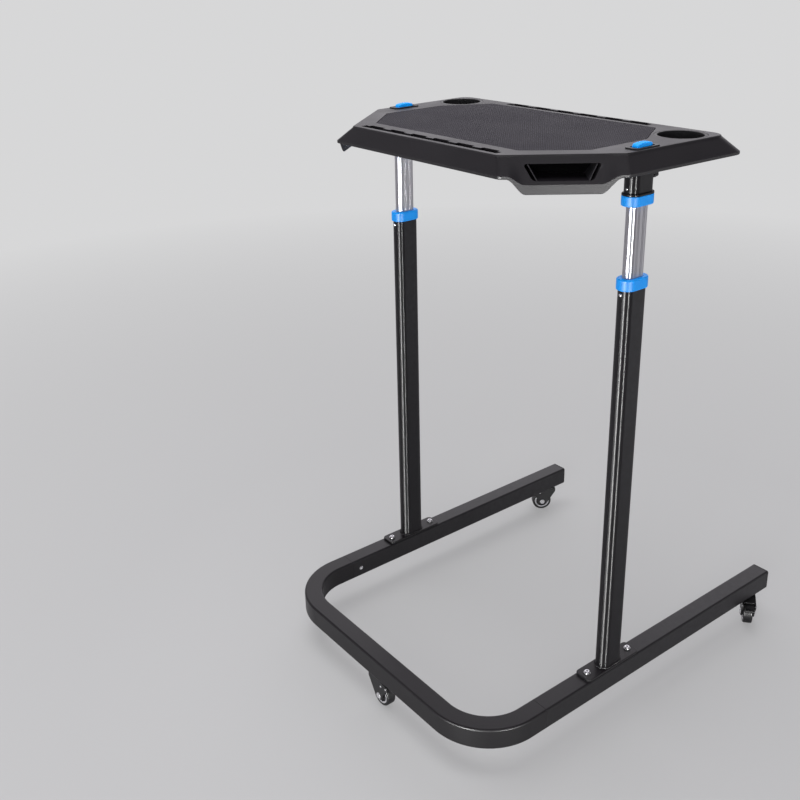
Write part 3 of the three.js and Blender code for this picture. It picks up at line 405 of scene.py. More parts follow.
raised = wired(tree, "ShaderNodeBump", {
    "Height": dots.outputs["Result"], "Strength": 0.6, "Distance": 0.0006,
    "Normal": relief.outputs["Normal"]})
tree.links.new(raised.outputs["Normal"], surface.inputs["Normal"])

# %% [markdown]
# Parts that stay hidden inside the tubes keep their measured shape. They still get a real
# finish, because the desk can be raised and looked at from below.

# %% Give every measured part its finish
finish_of_slot = {
    "frame_black": satin_paint, "cap_black": cap_plastic, "silver": silver_metal,
    "blue": blue_plastic_painted_glow, "desk_black": desk_plastic, "mat_grey": mat_finish,
    "dark_gloss": smooth_plastic, "steel": zinc, "tread": tread,
}
slot_of_node = {s["node"]: s["material_slot"] for s in frame["record"]["subparts"]}
for node_name, node in nodes.items():
    for slot_of_object in node.material_slots:
        slot_of_object.material = finish_of_slot[slot_of_node[node_name]]
print("measured parts with a finish", len(nodes))

# %% [markdown]
# ## The base
# The base is a square steel tube bent into a U. Carrying a rounded square along the middle
# line of the bend keeps the tube's width the same all the way, as a bending machine does. The
# tube is hollow, so the section goes out along the outside and back along the inside.

# %% The middle of a measured part
def middle(low, high):
    """Half the sum of a box's two corners, one number per axis."""
    return [(a + b) / 2 for a, b in zip(low, high)]


# %% The bent tube
tube_low, tube_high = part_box("front_frame")
leg_low, leg_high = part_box("leg_tube_right")
TUBE_WIDTH = leg_high.x - leg_low.x
TUBE_HEIGHT = leg_high.z - leg_low.z
TUBE_WALL = 2 * MM
TUBE_EDGE = 4.5 * MM
BEND_RADIUS = 110 * MM
LEG_X = middle(leg_low, leg_high)[0]
tube_middle_z = middle(tube_low, tube_high)[2]


def square_section(inset, steps=6):
    """Rounded square in the plane across the tube: (sideways, up)."""
    half_w, half_h = TUBE_WIDTH / 2 - inset, TUBE_HEIGHT / 2 - inset
    corners = [(half_w, -half_h), (half_w, half_h), (-half_w, half_h), (-half_w, -half_h)]
    return filleted(corners, max(TUBE_EDGE - inset, MM), steps)


def bent_path(steps=28):
    """Middle line of the U in plan and its sideways direction, from right end to left end.

    A quarter circle joins each straight leg to the crossbar: centre + radius * (cos t, sin t).
    """
    centre_x = LEG_X - BEND_RADIUS
    centre_y = tube_low.y + TUBE_WIDTH / 2 + BEND_RADIUS
    t = np.linspace(0, -math.pi / 2, steps)
    arc = np.stack([np.cos(t), np.sin(t)], axis=1)
    right = np.concatenate([[[LEG_X, tube_high.y]], [centre_x, centre_y] + BEND_RADIUS * arc])
    right_side = np.concatenate([[[1, 0]], arc])
    left = (right * [-1, 1])[::-1]
    left_side = (right_side * [-1, 1])[::-1]
    return np.concatenate([right, left]), np.concatenate([right_side, left_side])


def bent_grid(inset):
    """Point = path + sideways * section_x, at height middle + section_y."""
    path, sideways = bent_path()
    section = square_section(inset)
    plan = path[:, None] + sideways[:, None] * section[None, :, :1]
    height = np.broadcast_to(tube_middle_z + section[:, 1], plan.shape[:2])
    return np.concatenate([plan, height[:, :, None]], axis=2)


bent = np.concatenate([bent_grid(0), bent_grid(TUBE_WALL)[::-1]])[:, ::-1]
settle("bent_tube", mesh_of("bent_tube", [skin(bent, closed=True)]), satin_paint, "base",
       ["front_frame"])

# %% [markdown]
# The straight legs push on to a spigot inside the bent tube. Their ends are broken by a small
# radius, so a thin dark line shows where the two tubes meet. A profile that runs along the
# outside and back along the inside gives a hollow tube and its four end edges at once.

# %% The straight legs
ALONG_Y = Matrix(((1, 0, 0, 0), (0, 0, 1, 0), (0, -1, 0, 0), (0, 0, 0, 1)))
LEG_END_ROUND = 0.6 * MM


def square_tube(start, end, x):
    """Hollow rounded square along Y, with its four end edges rounded."""
    r, a, b = TUBE_EDGE, TUBE_WIDTH / 2 - TUBE_EDGE, TUBE_HEIGHT / 2 - TUBE_EDGE
    inner = r - TUBE_WALL
    rings = ringed([(r, a, b, start), (r, a, b, end), (inner, a, b, end), (inner, a, b, start)],
                   LEG_END_ROUND, 3, 32)
    return moved(rings, Matrix.Translation((x, 0, tube_middle_z)) @ ALONG_Y)


both_sides("leg", [square_tube(leg_low.y, leg_high.y, LEG_X)], satin_paint, "base",
           ["leg_tube_{}"], closed=True)

# %% [markdown]
# A moulded cap closes the rear end of each leg. It has a face as wide as the tube and a plug
# that is pushed into it. A box with a bevel could do, but one profile of rings gives the face,
# the plug and the step between them.

# %% The end caps
cap_low, cap_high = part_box("leg_cap_right")
CAP_FACE, CAP_PLAY = 3 * MM, 0.3 * MM
cap_rounds = np.array([0, 0.3, 0, 0.3, 1.6, 0]) * MM
half_w, half_h, r = TUBE_WIDTH / 2, TUBE_HEIGHT / 2, TUBE_EDGE
plug = TUBE_WALL + CAP_PLAY
cap = ringed([
    (HUB_R, half_w - plug - HUB_R, half_h - plug - HUB_R, cap_low.y),
    (r - plug, half_w - r, half_h - r, cap_low.y),
    (r - plug, half_w - r, half_h - r, cap_high.y - CAP_FACE),
    (r, half_w - r, half_h - r, cap_high.y - CAP_FACE),
    (r, half_w - r, half_h - r, cap_high.y),
    (HUB_R, half_w - r, half_h - r, cap_high.y)], cap_rounds, 5, 32)
both_sides("end_cap", [moved(cap, Matrix.Translation((LEG_X, 0, tube_middle_z)) @ ALONG_Y)],
           cap_plastic, "base", ["leg_cap_{}"])

# %% [markdown]
# ## Screws
# Bright zinc screws hold the post's foot and lock the joints. A button head is a low dome with
# a six-sided socket. The socket is the same ring of points pulled on to a hexagon, so the whole
# screw stays one skin and needs no cut.

# %% A button-head screw
TIP_R, SOCKET_EDGE = 0.2 * MM, 0.2 * MM
SOCKET_SHARE, CROWN_SHARE, MOUTH_SHARE = 0.34, 0.62, 1.2
RIM_HEIGHT_SHARE, SOCKET_FLOOR_SHARE = 0.45, 0.6
screw_rounds = np.array([0, 0.3, 0, 0.3, 1.2, 1.2, 0]) * MM


def socket_screw(head_radius, head_height, shank_radius, shank_length, around=48):
    """Screw along Z, its head resting on z = 0. In the socket the radius at angle t is
    flat / cos(t'), where t' runs from -30 to 30 degrees on each of the six flats."""
    t = np.linspace(0, 2 * math.pi, around, endpoint=False)
    flat = head_radius * SOCKET_SHARE
    hexagon = flat / np.cos(np.mod(t, math.pi / 3) - math.pi / 6)
    profile = filleted([
        (TIP_R, -shank_length), (shank_radius, -shank_length), (shank_radius, 0),
        (head_radius, 0), (head_radius, head_height * RIM_HEIGHT_SHARE),
        (head_radius * CROWN_SHARE, head_height), (flat * MOUTH_SHARE, head_height)],
        screw_rounds, 4)
    radius = np.concatenate([
        np.broadcast_to(profile[:, :1], (len(profile), around)), hexagon[None], hexagon[None]])
    height = np.concatenate([
        profile[:, 1], [head_height - SOCKET_EDGE, head_height * SOCKET_FLOOR_SHARE]])
    height = np.broadcast_to(height[:, None], radius.shape)
    return np.stack([radius * np.cos(t), radius * np.sin(t), height], axis=2)


# %% [markdown]
# Each foot plate has two screws, and each joint of the base is locked by one. They take their
# places from the measured boxes, so they always sit in the measured holes.

# %% The foot screws and the joint screws
FOOT_HEAD_R, FOOT_HEAD, FOOT_SHANK_R = 7 * MM, 5 * MM, 4 * MM
JOINT_HEAD_R, JOINT_HEAD, JOINT_SHANK_R, JOINT_SHANK = 5 * MM, 2.6 * MM, 2.5 * MM, 9 * MM
for side in ("right", "left"):
    for end in ("front", "rear"):
        node = f"foot_bolt_{side}_{end}"
        low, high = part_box(node)
        x, y, _ = middle(low, high)
        head_foot = high.z - FOOT_HEAD
        screw = moved(socket_screw(FOOT_HEAD_R, FOOT_HEAD, FOOT_SHANK_R, head_foot - low.z),
                      Matrix.Translation((x, y, head_foot)))
        settle(f"foot_screw_{side}_{end}", mesh_of(node, [skin(screw)]), zinc, "base",
               [node])

low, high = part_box("leg_screw_right")
_, y, z = middle(low, high)
INWARD = Matrix.Rotation(math.radians(-90), 4, "Y")
screw = moved(socket_screw(JOINT_HEAD_R, JOINT_HEAD, JOINT_SHANK_R, JOINT_SHANK),
              Matrix.Translation((low.x + JOINT_HEAD, y, z)) @ INWARD)
both_sides("joint_screw", [screw], zinc, "base", ["leg_screw_{}"])

# %% [markdown]
# ## The posts
# Each post is a flat-oval tube welded to a foot plate. The post is hollow, and a blue collar
# closes it round the sliding tube. Both are rings carried straight up, so the bright line that a
# lamp draws down the post stays straight.

# %% The foot plates
low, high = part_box("foot_plate_right")
PLATE_R = 9 * MM
plate_w, plate_l = (high.x - low.x) / 2 - PLATE_R, (high.y - low.y) / 2 - PLATE_R
plate = slab(PLATE_R, plate_w, plate_l, low.z, high.z, np.array([0, 0.4, 1.2, 0]) * MM)
post_x, post_y, _ = middle(low, high)
at_post = Matrix.Translation((post_x, post_y, 0))
both_sides("foot_flange", [moved(plate, at_post)], satin_paint, "base",
           ["foot_plate_{}"])
plate_top = high.z

# %% The posts
low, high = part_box("lower_column_right")
POST_R = (high.x - low.x) / 2
POST_STRAIGHT = (high.y - low.y) / 2 - POST_R
POST_WALL, POST_END_ROUND = 2 * MM, 0.5 * MM
post_bore = POST_R - POST_WALL
post = ringed([
    (POST_R, 0, POST_STRAIGHT, low.z), (POST_R, 0, POST_STRAIGHT, high.z),
    (post_bore, 0, POST_STRAIGHT, high.z), (post_bore, 0, POST_STRAIGHT, low.z)],
    POST_END_ROUND, 3, 64)
both_sides("post", [moved(post, at_post)], post_paint, "base",
           ["lower_column_{}"], closed=True)

# %% [markdown]
# The weld is a bead with ripples that runs round the oval. A bump on the paint would look flat
# from the side, so the bead is a small section of its own, carried round the foot of the post.

# %% The weld round each post
BEAD, RIPPLE, RIPPLES, BEAD_HEIGHT_SHARE = 2.6 * MM, 0.45 * MM, 46, 0.8


def weld_bead(radius, straight, height, steps=6, around=10):
    """Bead carried round a flat oval. Its thickness is bead + ripple * sin(2 pi ripples s),
    where s goes from 0 to 1 once round, so it looks like overlapping drops."""
    s = np.linspace(0, 1, RIPPLES * steps, endpoint=False)
    half_circle = math.pi * radius
    stops = np.cumsum([0, half_circle, 2 * straight, half_circle, 2 * straight])
    way = s * stops[-1]
    angle = np.interp(way, stops, np.array([0, 1, 1, 2, 2]) * math.pi)
    slide = np.interp(way, stops, np.array([1, 1, -1, -1, 1]) * straight)
    out = np.stack([np.cos(angle), np.sin(angle)], axis=1)
    line = np.stack([np.zeros(len(s)), slide], axis=1) + out * radius
    swell = BEAD + RIPPLE * np.sin(2 * math.pi * RIPPLES * s)
    turn = np.linspace(0, 2 * math.pi, around, endpoint=False)
    side = swell * np.cos(turn)[:, None]
    rise = swell * np.sin(turn)[:, None] * BEAD_HEIGHT_SHARE
    plan = line[None] + side[:, :, None] * out[None]
    return np.concatenate([plan, (height + rise)[:, :, None]], axis=2)[::-1]


weld = moved(weld_bead(POST_R, POST_STRAIGHT, plate_top), at_post)
both_sides("weld", [weld], satin_paint, "base", [], closed=True)

# %% [markdown]
# ## The blue collars
# A collar is a cap over the end of a post with a hole for the sliding tube. Its outside
# follows the post's oval and its hole follows the smaller tube's oval, so the profile changes
# from one oval to the other where it turns inwards.

# %% The sliding tube's size
low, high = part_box("slide_tube_right")
TUBE_R = (high.x - low.x) / 2
TUBE_STRAIGHT = (high.y - low.y) / 2 - TUBE_R
slide_low, slide_high = low.z, high.z
RUN_GAP, SEAT_GAP, COLLAR_SKIRT = 0.5 * MM, 0.3 * MM, 3.4 * MM
outside_r, seat_r, bore_r = POST_R + COLLAR_SKIRT, POST_R + SEAT_GAP, TUBE_R + RUN_GAP
print("post oval", round(2 * POST_R / MM), "tube oval", round(2 * TUBE_R / MM))

# %% The lower collars
low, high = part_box("lower_collar_right")
COLLAR_HEIGHT, LIP = 20 * MM, 4 * MM
collar_low, lip_low = high.z - COLLAR_HEIGHT, high.z - LIP
collar_rounds = np.array([0.3, 1.2, 2.2, 1.0, 0.3, 0]) * MM
lower_collar = ringed([
    (seat_r, 0, POST_STRAIGHT, collar_low), (outside_r, 0, POST_STRAIGHT, collar_low),
    (outside_r, 0, POST_STRAIGHT, high.z), (bore_r, 0, TUBE_STRAIGHT, high.z),
    (bore_r, 0, TUBE_STRAIGHT, lip_low), (seat_r, 0, POST_STRAIGHT, lip_low)],
    collar_rounds, 5, 64)
both_sides("guide_collar", [moved(lower_collar, at_post)], blue_plastic_painted_glow, "base",
           ["lower_collar_{}"], closed=True)

# %% [markdown]
# A small screw holds each lower collar. It is the same button head, smaller and turned to face
# the front, so the function for the larger screws serves again.

# %% The small screws under the lower collars
TO_FRONT = Matrix.Rotation(math.radians(90), 4, "X")
TO_REAR = Matrix.Rotation(math.radians(-90), 4, "X")
COLLAR_HEAD_R, COLLAR_HEAD, COLLAR_SHANK_R, COLLAR_SHANK = 3.2 * MM, 1.8 * MM, 1.6 * MM, 1.9 * MM
low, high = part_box("collar_screw_right")
x, _, z = middle(low, high)
screw = moved(socket_screw(COLLAR_HEAD_R, COLLAR_HEAD, COLLAR_SHANK_R, COLLAR_SHANK, 36),
              Matrix.Translation((x, low.y + COLLAR_HEAD, z)) @ TO_FRONT)
both_sides("collar_rivet", [screw], zinc, "base", ["collar_screw_{}"])

# %% [markdown]
# ## The sliding tubes
# The silver tubes are pressed aluminium with fine grooves down their flat sides. The tube's
# ring is worked out with many points on the straight sides, and each groove pulls the wall in
# by a narrow bell curve. A bump could draw the grooves too, but not at the tube's open end.

# %% The silver tubes
GROOVES = np.array([-7.5, -4.5, 4.5, 7.5]) * MM
SLIDE_WALL, GROOVE_DEPTH, GROOVE_WIDTH = 2 * MM, 0.45 * MM, 0.8 * MM


def grooved_tube(radius, straight, low_z, high_z, flat_steps=81, round_steps=25):
    """Flat oval with grooves: on the flat sides x = radius - depth * sum(exp(-((y - g) / w)^2)),
    and on the round sides x = radius * cos t, y = straight + radius * sin t."""
    flat = np.linspace(-straight, straight, flat_steps)[1:-1]
    t = np.linspace(0, math.pi, round_steps)
    pull = GROOVE_DEPTH * np.exp(-((flat[:, None] - GROOVES) / GROOVE_WIDTH) ** 2).sum(axis=1)
    outlines = []
    for r, inwards in ((radius, pull), (radius - SLIDE_WALL, np.zeros(len(flat)))):
        right = np.stack([r - inwards, flat], axis=1)
        top = np.stack([r * np.cos(t), straight + r * np.sin(t)], axis=1)
        outlines.append(np.concatenate([right, top, -right, -top]))
    outer, inner = outlines
    return stacked([(outer, low_z), (outer, high_z), (inner, high_z), (inner, low_z)])


silver = grooved_tube(TUBE_R, TUBE_STRAIGHT, slide_low, slide_high)
both_sides("silver_tube", [moved(silver, at_post)], silver_metal, "desk",
           ["slide_tube_{}"], closed=True, sharp=60)

# %% [markdown]
# ## The sockets under the desktop
# A black sleeve hangs under the desktop on each side. A blue collar closes its lower end, and
# a small black lip stands out just above that collar. Both are ring profiles again, worked out
# from the measured heights, so the collar always meets the lip.

# %% The sleeves
low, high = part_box("socket_sleeve_right")
upper_low, upper_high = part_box("upper_collar_right")
RIM = 4 * MM
rim_low = upper_high.z + SEAT_GAP
rim_high = rim_low + RIM
sleeve_rounds = np.array([0.3, 0, 0.8, 1.4, 1.0, 0.4, 0.3, 0.3]) * MM
sleeve = ringed([
    (POST_R, 0, POST_STRAIGHT, low.z), (POST_R, 0, POST_STRAIGHT, rim_low),
    (outside_r, 0, POST_STRAIGHT, rim_low), (outside_r, 0, POST_STRAIGHT, rim_high),
    (POST_R, 0, POST_STRAIGHT, rim_high), (POST_R, 0, POST_STRAIGHT, high.z),
    (bore_r, 0, TUBE_STRAIGHT, high.z), (bore_r, 0, TUBE_STRAIGHT, low.z)],
    sleeve_rounds, 4, 64)
both_sides("socket", [moved(sleeve, at_post)], post_paint, "desk",
           ["socket_sleeve_{}"], closed=True)

# %% [markdown]
# The upper collar is the lower one turned over: its lip is at the bottom. Turning a finished
# mesh over would do as well, but its roundings differ, so it has a profile of its own.

# %% The upper collars
upper_lip = upper_low.z + LIP
upper_rounds = np.array([0.6, 1.8, 1.0, 0.3, 0, 0.3]) * MM
upper = ringed([
    (bore_r, 0, TUBE_STRAIGHT, upper_low.z), (outside_r, 0, POST_STRAIGHT, upper_low.z),
    (outside_r, 0, POST_STRAIGHT, upper_high.z), (seat_r, 0, POST_STRAIGHT, upper_high.z),
    (seat_r, 0, POST_STRAIGHT, upper_lip), (bore_r, 0, TUBE_STRAIGHT, upper_lip)],
    upper_rounds, 5, 64)
both_sides("socket_collar", [moved(upper, at_post)], blue_plastic_painted_glow, "desk",
           ["upper_collar_{}"], closed=True)

# %% [markdown]
# A bright rivet shows on the front of each sleeve, and a bracket on its top carries the desktop.
# Both are plates with rounded rims, one round and one a rounded rectangle, so one helper makes
# them.

# %% The small rivets on the sleeves
RIVET_R, RIVET_HEIGHT, RIVET_HUB = 1.9 * MM, 1.2 * MM, 0.05 * MM
RIVET_RISE, RIVET_SINK = 12 * MM, 0.1 * MM
rivet_rounds = np.array([0, 0.1, 0.9, 0]) * MM
rivet = slab(RIVET_R, 0, 0, 0, RIVET_HEIGHT, rivet_rounds, hub=RIVET_HUB, around=32)
rivet_y = post_y - POST_R - POST_STRAIGHT + RIVET_SINK
rivet = moved(
    rivet, Matrix.Translation((post_x, rivet_y, upper_high.z + RIVET_RISE)) @ TO_FRONT)
both_sides("socket_rivet", [rivet], zinc, "desk", [])

# %% The brackets
low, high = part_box("column_bracket_right")
BRACKET_R = 3 * MM
bracket_w, bracket_l = (high.x - low.x) / 2 - BRACKET_R, (high.y - low.y) / 2 - BRACKET_R
bracket_rounds = np.array([0, 1.5, 0.5, 0]) * MM
bracket = slab(BRACKET_R, bracket_w, bracket_l, low.z, high.z, bracket_rounds, around=32)
both_sides("under_bracket", [moved(bracket, at_post)], post_paint, "desk",
           ["column_bracket_{}"])

# %% [markdown]
# A round knob on the rear of each sleeve clamps the tube. Its finger hollows are a wave added to
# the radius, so they fade out where the grip meets the neck and no cutting is needed.

# %% The clamp knobs
KNOB_R, KNOB_GRIP, NECK_R, NECK, KNOB_SHANK_R = 8 * MM, 12 * MM, 5 * MM, 2 * MM, 3 * MM
FINGERS, FINGER_DIP, KNOB_HUB = 6, 1.1 * MM, 0.4 * MM
knob_rounds = np.array([0, 0.3, 0, 0.3, 0, 0.8, 2, 0]) * MM


def scalloped_knob(shank_length, around=96):
    """Knob along Z. On the grip the radius is R - dip * (0.5 + 0.5 * cos(fingers * t))^3, so six
    finger hollows run down it."""
    t = np.linspace(0, 2 * math.pi, around, endpoint=False)
    grip_top = NECK + KNOB_GRIP
    profile = filleted([
        (TIP_R, -shank_length), (KNOB_SHANK_R, -shank_length), (KNOB_SHANK_R, 0), (NECK_R, 0),
        (NECK_R, NECK), (KNOB_R, NECK), (KNOB_R, grip_top), (KNOB_HUB, grip_top)],
        knob_rounds, 5)
    dip = (0.5 + 0.5 * np.cos(FINGERS * t)) ** 3 * FINGER_DIP
    grip = np.clip((profile[:, 0] - NECK_R) / (KNOB_R - NECK_R), 0, 1)
    ring = profile[:, :1] - grip[:, None] * dip
    height = np.broadcast_to(profile[:, 1:], ring.shape)
    return np.stack([ring * np.cos(t), ring * np.sin(t), height], axis=2)


low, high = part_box("clamp_knob_right")
knob_z = middle(low, high)[2]
knob_face = high.y - (NECK + KNOB_GRIP)
knob = moved(scalloped_knob(knob_face - low.y),
             Matrix.Translation((post_x, knob_face, knob_z)) @ TO_REAR)
both_sides("knob", [knob], smooth_plastic, "clamp_knob_{}", ["clamp_knob_{}"])

# %% [markdown]
# ## The desktop
# The desktop is one moulding: a flat six-sided top with a skirt that slopes outwards, and a
# deeper lobe of skirt on both chamfers for a hand hole. Every ring of the moulding is the same
# outline with each side moved outwards by its own distance, so the skirt is a stack of rings.
# The slots, holes and the mat's recess are then cut out of the closed moulding.

# %% Sizes of the moulding
top_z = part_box("grip_mat")[1].z
FRONT_Y = tube_low.y
near_y, corner_y, far_y = FRONT_Y + 147 * MM, FRONT_Y + 305 * MM, FRONT_Y + 556 * MM
near_half, corner_half, far_half = 200 * MM, 333 * MM, 340 * MM
deck_corners = np.array([
    (-near_half, near_y), (near_half, near_y), (corner_half, corner_y),
    (far_half, far_y), (-far_half, far_y), (-corner_half, corner_y)])
deck_radii = np.array([12, 12, 12, 24, 24, 12]) * MM
deck_flares = np.array([20, 32, 25, 20, 25, 32]) * MM
SKIRT_DROP, HANDLE_DROP, DECK_WALL, DECK_PLATE = 33 * MM, 58 * MM, 3 * MM, 4.5 * MM
DECK_EDGE, SKIRT_BAND, HANDLE_BAND = 3 * MM, 5 * MM, 16 * MM
print("desktop corners in mm", np.round(deck_corners / MM).tolist())


# %% The six-sided outline and its stations
def moved_sides(corners, distances):
    """Corners of the outline after each side has moved outwards by its distance: the point
    where two neighbouring moved sides cross."""
    way = np.roll(corners, -1, axis=0) - corners
    way /= np.linalg.norm(way, axis=1)[:, None]
    start = corners + np.stack([way[:, 1], -way[:, 0]], axis=1) * distances[:, None]
    before, way_before = np.roll(start, 1, axis=0), np.roll(way, 1, axis=0)
    gap = start - before
    along = (gap[:, 0] * way[:, 1] - gap[:, 1] * way[:, 0]) / (
        way_before[:, 0] * way[:, 1] - way_before[:, 1] * way[:, 0])
    return before + way_before * along[:, None]


def smooth_step(x):
    """0 below 0, 1 above 1, and x * x * (3 - 2 x) between."""
    x = np.clip(x, 0, 1)
    return x * x * (3 - 2 * x)


# Stations along a side, closer together near its ends, and where the lobe's two slopes lie.
side_shares = np.concatenate([np.linspace(0.02, 0.24, 14), np.linspace(0.3, 0.7, 5),
                              np.linspace(0.74, 0.98, 14)])
LOBE_START_SHARE, LOBE_RISE_SHARE, LOBE_END_SHARE, LOBE_FALL_SHARE = 0.03, 0.16, 0.97, 0.17
lobe = (smooth_step((side_shares - LOBE_START_SHARE) / LOBE_RISE_SHARE)
        * smooth_step((LOBE_END_SHARE - side_shares) / LOBE_FALL_SHARE))
SIDES, RIGHT_CHAMFER, LEFT_CHAMFER, CORNER_STEPS = 6, 1, 5, 8
lobe_depth = np.zeros((SIDES, CORNER_STEPS + 1 + len(side_shares)))
lobe_depth[RIGHT_CHAMFER, CORNER_STEPS + 1:] = lobe
lobe_depth[LEFT_CHAMFER, CORNER_STEPS + 1:] = lobe[::-1]
lobe_depth = lobe_depth.ravel()


def deck_ring(spread):
    """One outline: six corner arcs with the stations of the six sides between them."""
    corners = moved_sides(deck_corners, np.asarray(spread) * np.ones(SIDES))
    arcs = filleted(corners, deck_radii, CORNER_STEPS).reshape(SIDES, CORNER_STEPS + 1, 2)
    start, end = arcs[:, -1], np.roll(arcs[:, 0], -1, axis=0)
    shares = side_shares[None, :, None]
    sides = start[:, None] * (1 - shares) + end[:, None] * shares
    return np.concatenate([arcs, sides], axis=1).reshape(-1, 2)


# %% [markdown]
# The profile goes from the underside down the inner wall, round the rolled lip at the bottom,
# up the outer wall and over the top edge. Each row is the outline moved outwards by so much, at
# so much below the top, and the way down is longer in the lobes.

# %% The moulding as a stack of rings
INNER_START_SHARE = 0.12


def deck_rows():
    """Rows of the moulding as (ring in plan, heights). Outer wall: out = flare * w and
    down = edge + (drop - band - edge) * w, with w from 0 to 1. Below it the band is upright and
    ends in half a circle."""
    drop = SKIRT_DROP + (HANDLE_DROP - SKIRT_DROP) * lobe_depth
    band = SKIRT_BAND + (HANDLE_BAND - SKIRT_BAND) * lobe_depth
    lip_r = DECK_WALL / 2
    rows = [(deck_ring(-DECK_WALL), top_z - DECK_PLATE)]
    for w in np.linspace(INNER_START_SHARE, 1, 7):
        rows.append((deck_ring(deck_flares * w - DECK_WALL),
                     top_z - DECK_PLATE - (drop - band - DECK_PLATE) * w))
    for t in np.linspace(-math.pi, 0, 9):
        rows.append((deck_ring(deck_flares - lip_r + lip_r * math.cos(t)),
                     top_z - drop + lip_r + lip_r * math.sin(t)))
    for w in np.linspace(1, 0, 9):
        rows.append((deck_ring(deck_flares * w),
                     top_z - DECK_EDGE - (drop - band - DECK_EDGE) * w))
    for t in np.linspace(0, math.pi / 2, 7)[1:]:
        rows.append((deck_ring(DECK_EDGE * (math.cos(t) - 1)),
                     top_z - DECK_EDGE * (1 - math.sin(t))))
    return stacked(rows)


deck_mesh = mesh_of("desk_shell", [skin(deck_rows())])
print("moulding faces", len(deck_mesh.polygons))


# %% Cutters: a prism over an outline
def prism(outline, low_z, high_z):
    """Closed block: the outline at two heights."""
    return skin(stacked([(outline, low_z), (outline, high_z)]))


def rectangle(half_x, half_y, x, y, radius):
    """Rectangle in plan round (x, y), with round corners."""
    corners = np.array([(half_x, -half_y), (half_x, half_y), (-half_x, half_y), (-half_x, -half_y)])
    return filleted(corners + [x, y], radius, 3)


def circle(radius, x, y, count=96):
    """Circle in plan: (x + radius * cos t, y + radius * sin t)."""
    t = np.linspace(0, 2 * math.pi, count, endpoint=False)
    return np.stack([x + radius * np.cos(t), y + radius * np.sin(t)], axis=1)


# %% [markdown]
# Two slots hold a tablet or a phone upright. The far side of each has square notches, drawn as
# steps in the slot's outline, so that one cut makes the slot and all its notches.

# %% The slots with their square notches
SLOT_HALF, SLOT_WIDTH, SLOT_DEPTH, SLOT_CORNER = 186 * MM, 13 * MM, 9 * MM, 0.9 * MM
NOTCH, NOTCHES, HALF_NOTCH_SHARE = 6.5 * MM, 6, 0.33
NEAR_SLOT_INSET, FAR_SLOT_INSET = 17 * MM, 18 * MM


def slot_outline(y):
    """Groove whose far side steps in and out: a notch fills two thirds of each pitch."""
    pitch = 2 * SLOT_HALF / NOTCHES
    centres = -SLOT_HALF + (np.arange(NOTCHES) + 0.5) * pitch
    half = pitch * HALF_NOTCH_SHARE
    near, far = y - SLOT_WIDTH / 2, y + SLOT_WIDTH / 2
    steps = np.stack([
        np.stack([centres + along, np.full(NOTCHES, far + up)], axis=1)
        for along, up in ((-half, 0), (-half, NOTCH), (half, NOTCH), (half, 0))], axis=1)
    outline = np.concatenate([[(-SLOT_HALF, near), (-SLOT_HALF, far)], steps.reshape(-1, 2),
                              [(SLOT_HALF, far), (SLOT_HALF, near)]])
    return filleted(outline[::-1], SLOT_CORNER, 3)


near_slot_y, far_slot_y = near_y + NEAR_SLOT_INSET, far_y - FAR_SLOT_INSET

# %% The mat's outline
MAT_CORNER = 9 * MM
mat_half = np.array([(194, 200), (272, 285), (272, 425), (214, 520)]) * MM + [0, FRONT_Y]


def mat_outline(margin):
    """Eight-sided outline of the mat with round corners, grown by an even margin."""
    corners = np.concatenate([mat_half, (mat_half * [-1, 1])[::-1]])
    return filleted(moved_sides(corners, np.full(len(corners), margin)), MAT_CORNER, 6)


# %% [markdown]
# A hand hole goes through the skirt of each chamfer into a blind pocket. Its shapes are drawn
# in the chamfer's own directions and then turned into place, because there the hole is square.

# %% The hand holes
chamfer_a, chamfer_b = deck_corners[1], deck_corners[2]
chamfer_way = (chamfer_b - chamfer_a) / np.linalg.norm(chamfer_b - chamfer_a)
chamfer_out = np.array([chamfer_way[1], -chamfer_way[0]])
chamfer_middle = (chamfer_a + chamfer_b) / 2
HOLE_TOP, HOLE_FOOT, HOLE_HALF, HOLE_FOOT_HALF = 13 * MM, 37 * MM, 63 * MM, 48 * MM
HOLE_DEPTH, BLOCK_HALF, POCKET_DROP = 32 * MM, 66 * MM, 40 * MM
hole_rounds = np.array([3, 10, 10, 3]) * MM


def hand_hole_outline(grow=0.0):
    """Trapezoid with round lower corners in the plane of the chamfer: (along, up from the
    top of the desk)."""
    corners = np.array([(-HOLE_HALF, -HOLE_TOP), (-HOLE_FOOT_HALF, -HOLE_FOOT),
                        (HOLE_FOOT_HALF, -HOLE_FOOT), (HOLE_HALF, -HOLE_TOP)])
    return filleted(moved_sides(corners, np.full(4, grow)), hole_rounds, 7)


def skirt_out(down):
    """How far the chamfer's skirt has come out at a depth: flare * (down - edge) / (drop - band
    - edge), up to the flare."""
    share = (down - DECK_EDGE) / (HANDLE_DROP - HANDLE_BAND - DECK_EDGE)
    return deck_flares[1] * np.clip(share, 0, 1)


def chamfer_points(along, out, down):
    """Points given in the chamfer's own directions: along it, out of it and down."""
    plan = (chamfer_middle + np.asarray(along)[..., None] * chamfer_way
            + np.asarray(out)[..., None] * chamfer_out)
    return np.concatenate([plan, (top_z - np.asarray(down))[..., None]], axis=-1)


def pocket_block():
    """Block from inside the skirt's wall inwards. Its outer face follows the skirt."""
    slope = np.linspace(POCKET_DROP, POCKET_DROP / 2, 3)
    down = np.array([DECK_PLATE / 2, POCKET_DROP, *slope, DECK_EDGE])
    back = -(HOLE_DEPTH + DECK_WALL)
    out = np.array([back, back, *(skirt_out(down[2:]) - DECK_WALL / 2)])
    along = np.array([-BLOCK_HALF, BLOCK_HALF])[:, None] + np.zeros(len(down))
    return chamfer_points(along, out + np.zeros_like(along), down + np.zeros_like(along))


